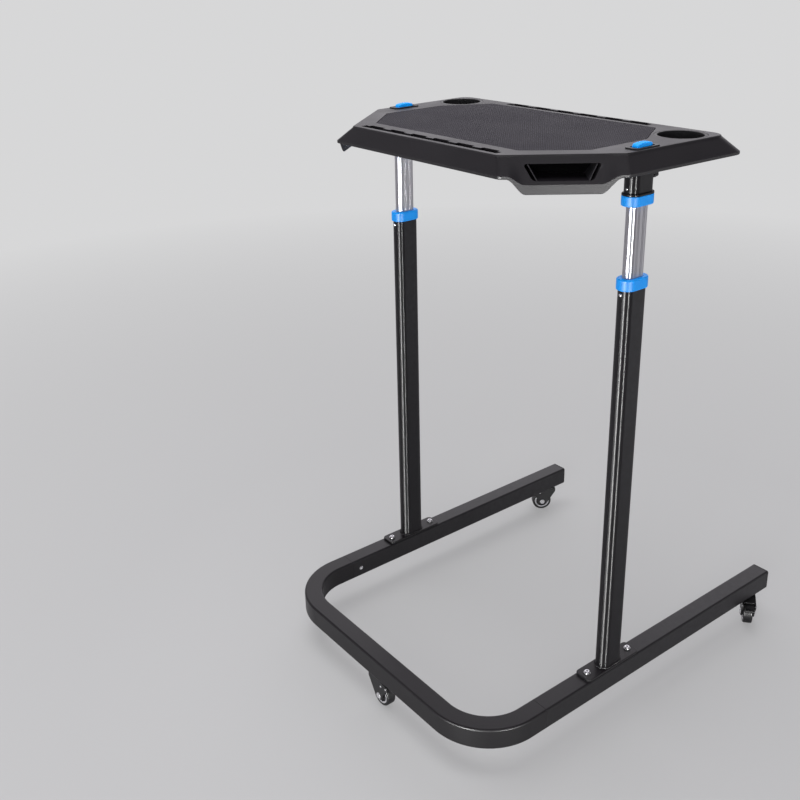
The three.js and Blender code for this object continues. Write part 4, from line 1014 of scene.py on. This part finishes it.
def across_chamfer(outline, inner, outer):
    """The outline carried square through the chamfer's skirt, from inner to outer."""
    return stacked([
        (chamfer_middle + outline[:, :1] * chamfer_way + out * chamfer_out, top_z + outline[:, 1])
        for out in (inner, outer)])


# %% [markdown]
# Blender's exact Boolean does the cutting. The troughs under the slots are joined on first, so
# that the slots get a floor. The cuts could also be built into the rings, but a cut keeps the
# moulding's own mesh simple.

# %% Cut and join closed meshes
def solid_piece(name, skins):
    """Helper object with its faces turned outwards."""
    mesh = mesh_of(name, skins)
    work = bmesh.new()
    work.from_mesh(mesh)
    bmesh.ops.recalc_face_normals(work, faces=work.faces)
    work.to_mesh(mesh)
    work.free()
    piece = bpy.data.objects.new(name, mesh)
    bpy.context.scene.collection.objects.link(piece)
    return piece


def cut_or_join(base_mesh, cutters):
    """Applies a list of (operation, skins) to a mesh and returns the new mesh."""
    base = bpy.data.objects.new("being_cut", base_mesh)
    bpy.context.scene.collection.objects.link(base)
    helpers = []
    for number, (operation, skins) in enumerate(cutters):
        tool = solid_piece(f"cutter_{number}", skins)
        step = base.modifiers.new(f"cut_{number}", "BOOLEAN")
        step.operation, step.solver, step.object = operation, "EXACT", tool
        helpers.append(tool)
    bpy.context.view_layer.update()
    result = bpy.data.meshes.new_from_object(
        base.evaluated_get(bpy.context.evaluated_depsgraph_get()))
    for item in (base, *helpers):
        bpy.data.objects.remove(item)
    return result


TROUGH_WALL, TROUGH_CORNER = 2.5 * MM, 2 * MM


def slot_block(y):
    """Trough under a slot and its notches, with a wall all round."""
    outline = rectangle(SLOT_HALF + TROUGH_WALL, (SLOT_WIDTH + NOTCH) / 2 + TROUGH_WALL, 0,
                        y + NOTCH / 2, TROUGH_CORNER)
    return prism(outline, top_z - SLOT_DEPTH - TROUGH_WALL, top_z - DECK_PLATE / 2)


# %% Cut the moulding
tray_low, tray_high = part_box("lever_tray_right")
tray_y = middle(tray_low, tray_high)[1]
cup_low, cup_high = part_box("cup_holder_right")
cup_x, cup_y, _ = middle(cup_low, cup_high)
CUP_R, CUP_RIM, CUP_RIM_DEPTH = 42 * MM, 3.5 * MM, 1.6 * MM
TRAY_BODY_W, TRAY_BODY_L, TRAY_HOLE_CORNER = 11 * MM, 26 * MM, 0.5 * MM
MAT_RECESS, MAT_MARGIN, FIT, CUT_OUT = 2 * MM, 1.1 * MM, 0.3 * MM, 40 * MM
above, through = top_z + 5 * MM, top_z - 20 * MM
cutters = [
    ("UNION", [slot_block(near_slot_y)]), ("UNION", [slot_block(far_slot_y)]),
    ("DIFFERENCE", [prism(mat_outline(MAT_MARGIN), top_z - MAT_RECESS, above)]),
    ("DIFFERENCE", [prism(slot_outline(near_slot_y), top_z - SLOT_DEPTH, above)]),
    ("DIFFERENCE", [prism(slot_outline(far_slot_y), top_z - SLOT_DEPTH, above)]),
]
block, hole = pocket_block(), across_chamfer(hand_hole_outline(), -HOLE_DEPTH, CUT_OUT)
for sign in (1, -1):
    cup_body = circle(CUP_R + FIT, sign * cup_x, cup_y)
    cup_seat = circle(CUP_R + CUP_RIM + FIT, sign * cup_x, cup_y)
    tray_hole = rectangle(TRAY_BODY_W + FIT, TRAY_BODY_L + FIT, sign * post_x, tray_y,
                          TRAY_HOLE_CORNER)
    cutters += [
        ("UNION", [skin(block if sign > 0 else mirrored(block))]),
        ("DIFFERENCE", [skin(hole if sign > 0 else mirrored(hole))]),
        ("DIFFERENCE", [prism(cup_body, through, above)]),
        ("DIFFERENCE", [prism(cup_seat, top_z - CUP_RIM_DEPTH - FIT, above)]),
        ("DIFFERENCE", [prism(tray_hole, through, above)]),
    ]
deck_mesh = cut_or_join(deck_mesh, cutters)
settle("desk_shell", deck_mesh, desk_plastic, "desk", ["desk_top"])

# %% [markdown]
# Near both ends of a hand hole a thin rib stands in the pocket. Its front edge follows the slope of
# the skirt and catches the light as a fine pale line. The back of the pocket gets a thin near-black
# sheet, a painted shade, so that the hole looks deep and dark.

# %% The ribs in the hand holes
RIB_INSET, RIB_HALF, RIB_PLAY, RIB_BEHIND, RIB_LEAN = 7 * MM, 0.8 * MM, 0.2 * MM, 1.5 * MM, 0.62
BACK_GAP, BACK_SHEET, BACK_MARGIN = 0.1 * MM, 1 * MM, 0.3 * MM


def hand_hole_rib(end, steps=7):
    """Upright rib: along = end * (hole half - inset - lean * (down - hole top)), from the
    pocket's back to just behind the skirt."""
    down = np.linspace(HOLE_TOP + RIB_PLAY, HOLE_FOOT - RIB_PLAY, steps)
    down = np.concatenate([down, down[::-1]])
    front = np.arange(2 * steps) < steps
    out = np.where(front, skirt_out(down) - RIB_BEHIND, -HOLE_DEPTH + RIB_PLAY)
    along = end * (HOLE_HALF - RIB_INSET - RIB_LEAN * (down - HOLE_TOP))
    sides = np.array([-RIB_HALF, RIB_HALF])[:, None] + along
    return chamfer_points(sides, out + np.zeros_like(sides), down + np.zeros_like(sides))


both_sides("hand_hole_rib", [hand_hole_rib(-1), hand_hole_rib(1)], desk_plastic, "desk",
           [])
# A near-black sheet at the back of each pocket: painted shade.
back = -HOLE_DEPTH + BACK_GAP
hole_shade_sheet = across_chamfer(hand_hole_outline(-BACK_MARGIN), back, back + BACK_SHEET)
both_sides("hand_hole_shade_sheet", [hole_shade_sheet], painted_pocket_shade, "desk", [])

# %% [markdown]
# The grip mat lies in its recess. It is thin rubber with a soft upper edge. A Bevel modifier
# could round it, but here the last rings simply shrink a little.

# %% The mat
mat_low, mat_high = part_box("grip_mat")
MAT_EDGE, MAT_SOFT, MAT_HUB = 0.5 * MM, 0.15 * MM, 0.8 * MM
mat_grid = stacked([
    (mat_outline(-MAT_HUB), mat_low.z), (mat_outline(0), mat_low.z),
    (mat_outline(0), mat_high.z - MAT_EDGE), (mat_outline(-MAT_SOFT), mat_high.z - MAT_SOFT),
    (mat_outline(-MAT_EDGE), mat_high.z)])
settle("mat_sheet", mesh_of("mat_sheet", [skin(mat_grid)]), mat_finish, "desk",
       ["grip_mat"])

# %% [markdown]
# ## Cups, trays and levers
# A cup holder is a turned shape that hangs from its rim. Its inside is glossy, with a soft
# corner at the floor, so it shows dark with a few bright reflections.

# %% The cup holders
CUP_TAPER, CUP_WALL, CUP_HUB = 2.5 * MM, 2 * MM, 0.5 * MM
cup_seat_z, cup_floor = top_z - CUP_RIM_DEPTH, cup_low.z + CUP_WALL
cup_profile = [
    (CUP_HUB, 0, 0, cup_low.z), (CUP_R - CUP_TAPER, 0, 0, cup_low.z),
    (CUP_R, 0, 0, cup_seat_z), (CUP_R + CUP_RIM, 0, 0, cup_seat_z),
    (CUP_R + CUP_RIM, 0, 0, top_z), (CUP_R - CUP_WALL, 0, 0, top_z),
    (CUP_R - CUP_TAPER - CUP_WALL, 0, 0, cup_floor), (CUP_HUB, 0, 0, cup_floor)]
cup = ringed(cup_profile, np.array([0, 5, 0.3, 0.3, 1.0, 1.6, 6, 0]) * MM, 6, 96)
both_sides("cup", [moved(cup, Matrix.Translation((cup_x, cup_y, 0)))], smooth_plastic, "desk",
           ["cup_holder_{}"])

# %% [markdown]
# Each release lever lies in a black tray with a deeper well. The tray's body drops through the
# desktop and its flange rests on it, so the profile steps out at the top and in again.

# %% The lever trays
FLANGE_R, WELL_R, BODY_R, WELL_FLOOR = 7 * MM, 3 * MM, 2 * MM, 2.5 * MM
flange_w = (tray_high.x - tray_low.x) / 2 - FLANGE_R
flange_l = (tray_high.y - tray_low.y) / 2 - FLANGE_R
WELL_HALF_W, WELL_HALF_L = 8 * MM, 22 * MM
well_w, well_l = WELL_HALF_W - WELL_R, WELL_HALF_L - WELL_R
body_w, body_l = TRAY_BODY_W - BODY_R, TRAY_BODY_L - BODY_R
tray_seat, well_floor = top_z + SEAT_GAP, tray_low.z + WELL_FLOOR
tray_rounds = np.array([0, 0.5, 0.1, 0.2, 1.2, 0.8, 0.5, 0]) * MM
tray = ringed([
    (HUB_R, body_w, body_l, tray_low.z), (BODY_R, body_w, body_l, tray_low.z),
    (BODY_R, body_w, body_l, tray_seat), (FLANGE_R, flange_w, flange_l, tray_seat),
    (FLANGE_R, flange_w, flange_l, tray_high.z), (WELL_R + HUB_R, well_w, well_l, tray_high.z),
    (WELL_R, well_w, well_l, well_floor), (HUB_R, well_w, well_l, well_floor)],
    tray_rounds, 4, 64)
both_sides("tray", [moved(tray, Matrix.Translation((post_x, tray_y, 0)))], smooth_plastic,
           "desk", ["lever_tray_{}"])

# %% [markdown]
# A lever is a soft blue pad with cross ridges for the finger. Its sections are one rounded
# square, stretched to the width and height that the pad has at each place along it.

# %% The levers
PAD_HALF_W, PAD_HALF_L, PAD_GAP, PAD_END = 7 * MM, 19 * MM, 1.2 * MM, 4 * MM
RIDGES, RIDGE, RIDGE_FADE, RIDGE_SPAN_SHARE, FADE_SHARE = 4, 0.8 * MM, 2 * MM, 0.7, 0.72
CROWN_DROP, END_DROP, END_LIFT, END_SHARE, PAD_CORNER_SHARE = (
    1.5 * MM, 2.2 * MM, 1.2 * MM, 0.55, 0.42)


def lever_pad(low_z, high_z, steps=97):
    """Sections across the lever, carried along it. Half width = half_w * sqrt(1 - share * q^2),
    where q grows from 0 to 1 over the rounded ends, and the top rises by ridge * cos^2 on each
    of the cross ridges."""
    y = PAD_HALF_L * np.sin(np.linspace(-math.pi / 2, math.pi / 2, steps))
    q = np.clip((np.abs(y) - (PAD_HALF_L - PAD_END)) / PAD_END, 0, 1)
    width = PAD_HALF_W * np.sqrt(1 - END_SHARE * q ** 2)
    ripple = np.cos(math.pi * RIDGES * y / (2 * PAD_HALF_L * RIDGE_SPAN_SHARE)) ** 2
    ripple *= smooth_step((FADE_SHARE * PAD_HALF_L - np.abs(y)) / RIDGE_FADE)
    crown = high_z - RIDGE - CROWN_DROP * (y / PAD_HALF_L) ** 2 - END_DROP * q ** 2
    top = crown + RIDGE * ripple
    unit = filleted([(1, -1), (1, 1), (-1, 1), (-1, -1)], PAD_CORNER_SHARE, 6)
    x = width[:, None] * unit[:, 0]
    share = (unit[:, 1] + 1) / 2
    low = low_z + END_LIFT * q ** 2
    z = low[:, None] + (top - low)[:, None] * share
    return np.stack([x, np.broadcast_to(y[:, None], x.shape), z], axis=2)[:, ::-1]


low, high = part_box("release_lever_right")
lever_x, lever_y, _ = middle(low, high)
STEM_R, STEM_W, STEM_L, STEM_BACK, STEM_TOP = 1.5 * MM, 5.5 * MM, 4 * MM, 13.3 * MM, 3 * MM
STEM_HUB = 0.5 * MM
stem_rounds = np.array([0, 0.8, 0.5, 0]) * MM
pad = moved(lever_pad(top_z + PAD_GAP, high.z), Matrix.Translation((lever_x, lever_y, 0)))
stem = slab(STEM_R, STEM_W, STEM_L, low.z, top_z + STEM_TOP, stem_rounds, STEM_HUB, 4, 32)
stem = moved(stem, Matrix.Translation((lever_x, lever_y - STEM_BACK, 0)))
both_sides("lever", [pad, stem], blue_plastic_painted_glow, "release_lever_{}", ["release_lever_{}"])

# %% [markdown]
# ## The casters
# Each caster is worked out once, standing at the origin with its wheel trailing along +X, and
# then turned and shifted to its place. The cheeks of the fork are plates with rounded edges, a
# hood joins them over the wheel, and the brake pedal hangs on two small ears behind.

# %% Places and headings of the casters
caster_places = {}
for place in ("front", "right", "left"):
    x, y, _ = middle(*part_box(f"caster_mount_{place}"))
    wheel_x, wheel_y, _ = middle(*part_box(f"caster_wheel_{place}"))
    heading = math.atan2(wheel_y - y, wheel_x - x)
    caster_places[place] = Matrix.Translation((x, y, 0)) @ Matrix.Rotation(heading, 4, "Z")
    print(place, "caster heads", round(math.degrees(heading)), "degrees")

TRAIL, WHEEL_R, WHEEL_HALF = 20 * MM, 25 * MM, 10 * MM
CHEEK, FORK_HALF, HOOD_INSET = 3.5 * MM, 14.7 * MM, 1.2 * MM
SHEET_ROUND, HOOD_ROUND = 0.9 * MM, 0.3 * MM
ACROSS = Matrix(((1, 0, 0, 0), (0, 0, -1, 0), (0, 1, 0, 0), (0, 0, 0, 1)))


# %% A plate with rounded edges
def edged_plate(outline, low, high, fillet, steps=3):
    """The outline carried from low to high and stood up beside the wheel. Near both faces it
    shrinks along its own normals: inset = fillet * (1 - sin t), so the edges are round."""
    way = np.roll(outline, -1, axis=0) - np.roll(outline, 1, axis=0)
    length = np.linalg.norm(way, axis=1)[:, None]
    out = np.stack([way[:, 1], -way[:, 0]], axis=1) / np.where(length > 0, length, 1)
    t = np.linspace(0, math.pi / 2, steps + 1)
    inset, rise = fillet * (1 - np.sin(t)), fillet * (1 - np.cos(t))
    inset = np.concatenate([inset, inset[::-1]])
    height = np.concatenate([low + rise, (high - rise)[::-1]])
    plans = outline[None] - inset[:, None, None] * out[None]
    return moved(stacked(zip(plans, height)), ACROSS)


# %% [markdown]
# The points of the next outlines are (behind the stem, above the floor) in millimetres, drawn after
# the photo. The fork's three plates are joined by a Boolean, because its edges would otherwise show
# lines where they pass through each other.

# %% The forks
cheek_points = np.array([
    (-15, 64.4), (-15, 56), (10, 16), (30, 16), (33, 33), (47, 50), (48, 59), (15, 64.4)])
cheek_rounds = np.array([1.5, 5, 9.2, 9.2, 12, 4, 4, 6])
cheek_outline = filleted(cheek_points * MM, cheek_rounds * MM, 8)
hood_points = np.array([
    (-15, 64.4), (-15, 55), (-5.5, 55), (4, 60), (20, 55.5), (36, 55.5), (38, 60), (15, 64.4)])
hood_rounds = np.array([1.5, 1, 3, 8, 6, 1, 1, 6])
hood_outline = filleted(hood_points * MM, hood_rounds * MM, 6)
hood_half = FORK_HALF - HOOD_INSET
fork_parts = [
    edged_plate(cheek_outline, -FORK_HALF, -FORK_HALF + CHEEK, SHEET_ROUND),
    edged_plate(cheek_outline, FORK_HALF - CHEEK, FORK_HALF, SHEET_ROUND),
    edged_plate(hood_outline, -hood_half, hood_half, HOOD_ROUND),
]

# %% [markdown]
# The wheel is turned: a hub, a thin web, a groove for the bright ring and a tread with round
# shoulders. Only one half of its profile is written down, and the other half is its mirror.

# %% The wheel, its bright ring and its axle heads
HUB_OUT_R, BORE_R, HUB_HALF, WEB_HALF = 9 * MM, 4.3 * MM, 10.6 * MM, 6.5 * MM
RING_IN_R, RING_OUT_R, RING_FLOOR, RING_PLAY = 15.2 * MM, 19.5 * MM, 9 * MM, 0.2 * MM
RING_LOW, RING_HIGH = 8.6 * MM, 9.9 * MM
half_profile = [
    (HUB_OUT_R, HUB_HALF), (HUB_OUT_R, WEB_HALF), (RING_IN_R, WEB_HALF), (RING_IN_R, RING_FLOOR),
    (RING_OUT_R, RING_FLOOR), (RING_OUT_R, WHEEL_HALF), (WHEEL_R, WHEEL_HALF)]
half_rounds = [0.6, 0.8, 0.5, 0.5, 0.3, 0.3, 3]
tyre = ringed(
    [(r, 0, 0, -h) for r, h in half_profile] + [(r, 0, 0, h) for r, h in half_profile[::-1]]
    + [(BORE_R, 0, 0, HUB_HALF), (BORE_R, 0, 0, -HUB_HALF)],
    np.array([*half_rounds, *half_rounds[::-1], 0.3, 0.3]) * MM, 4, 96)
ring_in, ring_out = RING_IN_R + RING_PLAY, RING_OUT_R - RING_PLAY
bright = ringed([
    (ring_in, 0, 0, RING_LOW), (ring_out, 0, 0, RING_LOW), (ring_out, 0, 0, RING_HIGH),
    (ring_in, 0, 0, RING_HIGH)], np.array([0, 0, 0.9, 0.9]) * MM, 4, 96)
AXLE_R, AXLE_HEAD_R, AXLE_IN, AXLE_SEAT, AXLE_END = (
    4 * MM, 6.5 * MM, 14.2 * MM, 15 * MM, 17.2 * MM)
axle_head = ringed([
    (AXLE_R, 0, 0, AXLE_IN), (AXLE_HEAD_R, 0, 0, AXLE_SEAT), (AXLE_HEAD_R, 0, 0, AXLE_END),
    (TIP_R, 0, 0, AXLE_END)], np.array([0, 0.2, 1.8, 0]) * MM, 5, 48)
at_wheel = Matrix.Translation((TRAIL, 0, WHEEL_R)) @ TO_FRONT
at_far_side = at_wheel @ Matrix.Rotation(math.pi, 4, "X")

# %% [markdown]
# The pedal is drawn from the side as one closed outline and given its width. It could be a bent
# sheet with a Solidify modifier, but the real pedal is moulded and thicker at its pin. Small
# round heads show where pins hold the pedal and the hood.

# %% The brake pedal and its rivets
BRAKE_X, BRAKE_Z, PEDAL_HALF = 43 * MM, 54 * MM, 9.5 * MM
HOOD_RIVET_X, HOOD_RIVET_Z, PIN_R, PIN_HEIGHT = 27 * MM, 52 * MM, 2.3 * MM, 1.3 * MM
PIN_HUB, PIN_SINK = 0.1 * MM, 0.05 * MM
pedal_points = np.array([
    (-4, 0), (-3, -3.4), (3, -3.4), (14, -1.6), (24, 1.4), (23.4, 4.6), (13, 1.6), (3, 3.8),
    (-3, 3.6)])
pedal_rounds = np.array([2, 2, 2, 8, 1.2, 1.2, 8, 2, 2])
pedal_outline = filleted(pedal_points * MM + [BRAKE_X, BRAKE_Z], pedal_rounds * MM, 5)
pedal = edged_plate(pedal_outline, -PEDAL_HALF, PEDAL_HALF, SHEET_ROUND)
pin_rounds = np.array([0, 0.1, 1.0, 0]) * MM
pin_head = slab(PIN_R, 0, 0, 0, PIN_HEIGHT, pin_rounds, hub=PIN_HUB, around=32)


def on_cheeks(grid, x, z):
    """The same small head on the outside of both cheeks."""
    y = FORK_HALF - PIN_SINK
    return [moved(grid, Matrix.Translation((x, -y, z)) @ TO_FRONT),
            moved(grid, Matrix.Translation((x, y, z)) @ TO_REAR)]


# %% [markdown]
# Above each fork a turned cup covers the bearing, and its bolt goes up into the tube. Cup, stem
# and bolt are one profile, because they never move against each other.

# %% The swivel cups under the tube
CUP_STEM_R, CUP_LOW_R, CUP_HIGH_R, BOLT_R = 4 * MM, 13.2 * MM, 15 * MM, 5 * MM
CUP_STEM_Z, CUP_LOW_Z, CUP_HIGH_Z, BOLT_TOP_Z = 57.4 * MM, 64.7 * MM, 67.7 * MM, 93.7 * MM
swivel_cup = ringed([
    (CUP_STEM_R, 0, 0, CUP_STEM_Z), (CUP_STEM_R, 0, 0, CUP_LOW_Z), (CUP_LOW_R, 0, 0, CUP_LOW_Z),
    (CUP_HIGH_R, 0, 0, CUP_HIGH_Z), (BOLT_R, 0, 0, CUP_HIGH_Z), (BOLT_R, 0, 0, BOLT_TOP_Z)],
    np.array([0.5, 0, 0.4, 0.6, 0, 0.8]) * MM, 4, 64)

# %% [markdown]
# Last, every part of a caster is moved to its place and told what it rides on: the cup stays
# with the base, the fork swivels, the wheel rolls and the pedal presses down.

# %% Put the three casters together
axle_heads = [moved(axle_head, at_wheel), moved(axle_head, at_far_side)]
wheel_rings = [moved(bright, at_wheel), moved(bright, at_far_side)]
fork_pins = on_cheeks(pin_head, BRAKE_X, BRAKE_Z) + on_cheeks(pin_head, HOOD_RIVET_X, HOOD_RIVET_Z)


def placed(grids, matrix, closed=False):
    """Skins of a caster's grids, turned and shifted to its place."""
    return [skin(moved(g, matrix), closed) for g in grids]


for place, matrix in caster_places.items():
    fork_mesh = cut_or_join(
        mesh_of("fork", placed(fork_parts[:1], matrix)),
        [("UNION", placed([part], matrix)) for part in fork_parts[1:]])
    settle(f"fork_{place}", fork_mesh, smooth_plastic, f"swivel_{place}",
           [f"caster_fork_{place}"])
    settle(f"axle_heads_{place}", mesh_of("axle_heads", placed(axle_heads, matrix)),
           white_plastic, f"swivel_{place}", [f"caster_axle_{place}"])
    settle(f"fork_rivets_{place}", mesh_of("fork_rivets", placed(fork_pins, matrix)),
           white_plastic, f"swivel_{place}")
    tyre_skins = placed([moved(tyre, at_wheel)], matrix, closed=True)
    settle(f"tyre_{place}", mesh_of("tyre", tyre_skins), tread, f"wheel_{place}",
           [f"caster_wheel_{place}"])
    ring_skins = placed(wheel_rings, matrix, closed=True)
    settle(f"wheel_ring_{place}", mesh_of("wheel_ring", ring_skins), white_plastic,
           f"wheel_{place}")
    settle(f"pedal_{place}", mesh_of("pedal", placed([pedal], matrix)), smooth_plastic,
           f"brake_{place}", [f"brake_pedal_{place}"])
    settle(f"swivel_cup_{place}", mesh_of("swivel_cup", placed([swivel_cup], matrix)),
           smooth_plastic, "base", [f"caster_mount_{place}"])

# %% [markdown]
# ## Stage, light and camera
# The desk stands on a pale grey floor in front of a backdrop of nearly the same tone. One plane
# is enough, because the camera sees it pass into the backdrop with distance, so that no horizon
# shows. It doesn't shine, so no lamp is mirrored in it.

# %% The floor and the backdrop
BACKDROP = (0.68, 0.68, 0.685, 1)
FLOOR_HALF = 12.0


def stage_material(name, colour):
    """Pale surface that takes soft shadows. The camera sees it pass into the backdrop's tone
    with distance: share = 0.4 at 1 m and 1 at 4 m."""
    material = bpy.data.materials.new(name)
    material.use_nodes = True
    tree = material.node_tree
    surface = tree.nodes["Principled BSDF"]
    place = wired(tree, "ShaderNodeTexCoord")
    cloud = wired(tree, "ShaderNodeTexNoise", {
        "Vector": place.outputs["Object"], "Scale": 0.6, "Detail": 1.0})
    shade = wired(tree, "ShaderNodeMix", {
        "Factor": cloud.outputs["Fac"], "A": (*colour, 1), "B": (*[c * 0.94 for c in colour], 1)},
        data_type="RGBA")
    tree.links.new(shade.outputs["Result"], surface.inputs["Base Color"])
    surface.inputs["Roughness"].default_value = 0.9
    surface.inputs["Specular IOR Level"].default_value = 0.0
    distance = wired(tree, "ShaderNodeVectorMath", {0: place.outputs["Object"]}, operation="LENGTH")
    share = wired(tree, "ShaderNodeMapRange", {
        "Value": distance.outputs["Value"], "From Min": 1.0, "From Max": 4.0, "To Min": 0.4,
        "To Max": 1.0})
    path = wired(tree, "ShaderNodeLightPath")
    seen_share = wired(tree, "ShaderNodeMath", {
        0: share.outputs["Result"], 1: path.outputs["Is Camera Ray"]}, operation="MULTIPLY")
    tone = wired(tree, "ShaderNodeEmission", {"Color": BACKDROP, "Strength": 1.0})
    both = wired(tree, "ShaderNodeMixShader", {
        0: seen_share.outputs[0], 1: surface.outputs[0], 2: tone.outputs[0]})
    tree.links.new(both.outputs[0], tree.nodes["Material Output"].inputs["Surface"])
    return material


floor_mesh = bpy.data.meshes.new("studio_floor")
floor_mesh.from_pydata([(-FLOOR_HALF, -FLOOR_HALF, 0), (FLOOR_HALF, -FLOOR_HALF, 0),
                        (FLOOR_HALF, FLOOR_HALF, 0), (-FLOOR_HALF, FLOOR_HALF, 0)], [],
                       [(0, 1, 2, 3)])
floor = bpy.data.objects.new("studio_floor", floor_mesh)
bpy.context.scene.collection.objects.link(floor)
floor_mesh.materials.append(stage_material("pale_floor", (0.56, 0.56, 0.57)))
floor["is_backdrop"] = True

# %% [markdown]
# The sky works like white sheets round a set. Each sheet is a direction, and it fades with the
# angle to that direction: one high at the back left for the tops of the base, one above for the
# desktop, one at the left for the skirts and one below for the undersides. Planes that glow
# could do the same, but they would stand in the way of other views. The camera itself sees only
# the even backdrop.

# %% The sky
world = bpy.data.worlds.new("studio")
bpy.context.scene.world = world
world.use_nodes = True
sky = world.node_tree
backdrop = sky.nodes["Background"]
backdrop.inputs["Color"].default_value = (1.0, 0.97, 1.02, 1)
direction = wired(sky, "ShaderNodeTexCoord")


def sky_panel(facing, start, end, strength):
    """Soft bright patch of sky: strength * share, where the share grows from 0 to 1 while the
    cosine between the ray and the panel's direction grows from start to end."""
    cosine = wired(sky, "ShaderNodeVectorMath", {
        0: direction.outputs["Generated"], 1: facing}, operation="DOT_PRODUCT")
    return wired(sky, "ShaderNodeMapRange", {
        "Value": cosine.outputs["Value"], "From Min": start, "From Max": end, "To Min": 0.0,
        "To Max": strength}, interpolation_type="SMOOTHSTEP").outputs["Result"]


EVEN_SKY = 0.04
back_left = sky_panel((-0.54, 0.62, 0.57), start=0.72, end=0.97, strength=0.95)
overhead = sky_panel((0.38, -0.14, 0.91), start=0.78, end=0.97, strength=0.50)
from_left = sky_panel((-1, 0, 0), start=0.1, end=0.8, strength=0.22)
from_below = sky_panel((0, 0, -1), start=-0.35, end=-0.10, strength=0.55)
brightness = EVEN_SKY
for panel in (back_left, overhead, from_left, from_below):
    brightness = wired(sky, "ShaderNodeMath", {0: brightness, 1: panel},
                       operation="ADD").outputs[0]
sky.links.new(brightness, backdrop.inputs["Strength"])
seen = wired(sky, "ShaderNodeBackground", {"Color": BACKDROP, "Strength": 1.0})
path = wired(sky, "ShaderNodeLightPath")
straight = wired(sky, "ShaderNodeMath", {
    0: path.outputs["Is Camera Ray"], 1: path.outputs["Is Transmission Ray"]},
    operation="MAXIMUM")
mixed = wired(sky, "ShaderNodeMixShader", {
    0: straight.outputs[0], 1: backdrop.outputs[0], 2: seen.outputs[0]})
sky.links.new(mixed.outputs[0], sky.nodes["World Output"].inputs["Surface"])

# %% [markdown]
# A large lamp above and one in front light the desk softly and show in no reflection. The long
# bright lines down the posts come from narrow lamps low at the left and at the right, which show
# in reflections only. A wide low lamp beside the left one and a faint one behind fill in.

# %% The lamps
def soft_lamp(name, place, target, width, height, watts, gloss_only=False):
    """Lamp of width by height at a place, turned to its target."""
    data = bpy.data.lights.new(name, "AREA")
    data.shape, data.size, data.size_y, data.energy = "RECTANGLE", width, height, watts
    lamp = bpy.data.objects.new(name, data)
    bpy.context.scene.collection.objects.link(lamp)
    lamp.location = place
    way = Vector(target) - Vector(place)
    lamp.rotation_euler = way.to_track_quat("-Z", "Y").to_euler()
    lamp.visible_diffuse = not gloss_only
    lamp.visible_glossy = gloss_only


middle_of_desk, front_of_desk = (0, 0, 0.6), (0, -0.08, 0.7)
between_posts, behind_right_post = (0, -0.08, 0.24), (0.33, 0, 0.40)
soft_lamp("overhead_soft", (-0.4, -0.5, 3.6), middle_of_desk, 2.6, 2.6, 62)
soft_lamp("left_strip", (1.06, -2.36, 0.24), between_posts, 0.20, 0.46, 104, gloss_only=True)
soft_lamp("left_glow", (0.45, -2.55, 0.24), between_posts, 0.9, 0.46, 33, gloss_only=True)
soft_lamp("right_strip", (2.45, -0.72, 0.24), between_posts, 0.16, 0.46, 64, gloss_only=True)
soft_lamp("back_glow", (1.87, 2.1, 0.40), behind_right_post, 1.4, 0.9, 3, gloss_only=True)
soft_lamp("front_soft", (1.9, -2.6, 1.6), front_of_desk, 1.2, 1.2, 30)
print("lamps", len(bpy.data.lights))

# %% [markdown]
# The camera stands at the right of the desk's front and above it. Its place and its angles in
# degrees were fitted to corners of the base, the posts and the desktop. The small shift slides
# the picture without turning the camera.

# %% The camera
VIEW_PLACE = (1.3787, -1.3971, 1.4596)
VIEW_HEADING, VIEW_DOWN, VIEW_ROLL = -36.766, 21.366, -1.551
camera_data = bpy.data.cameras.new("photo_view")
camera = bpy.data.objects.new("photo_view", camera_data)
bpy.context.scene.collection.objects.link(camera)
turn = (Matrix.Rotation(math.radians(90 + VIEW_HEADING), 4, "Z")
        @ Matrix.Rotation(math.radians(90 - VIEW_DOWN), 4, "X")
        @ Matrix.Rotation(math.radians(VIEW_ROLL), 4, "Z"))
camera.matrix_world = Matrix.Translation(VIEW_PLACE) @ turn
camera_data.sensor_width = 36.0
camera_data.lens = 45.388
camera_data.shift_x = 0.0126
camera_data.shift_y = -0.0751
bpy.context.scene.camera = camera
bpy.context.scene.view_settings.view_transform = "Standard"
print("camera", VIEW_PLACE, "lens", round(camera_data.lens, 3))

# %% [markdown]
# The last step works out the box round everything that is shown, leaving out the floor.

# %% Sizes and the end
low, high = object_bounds()
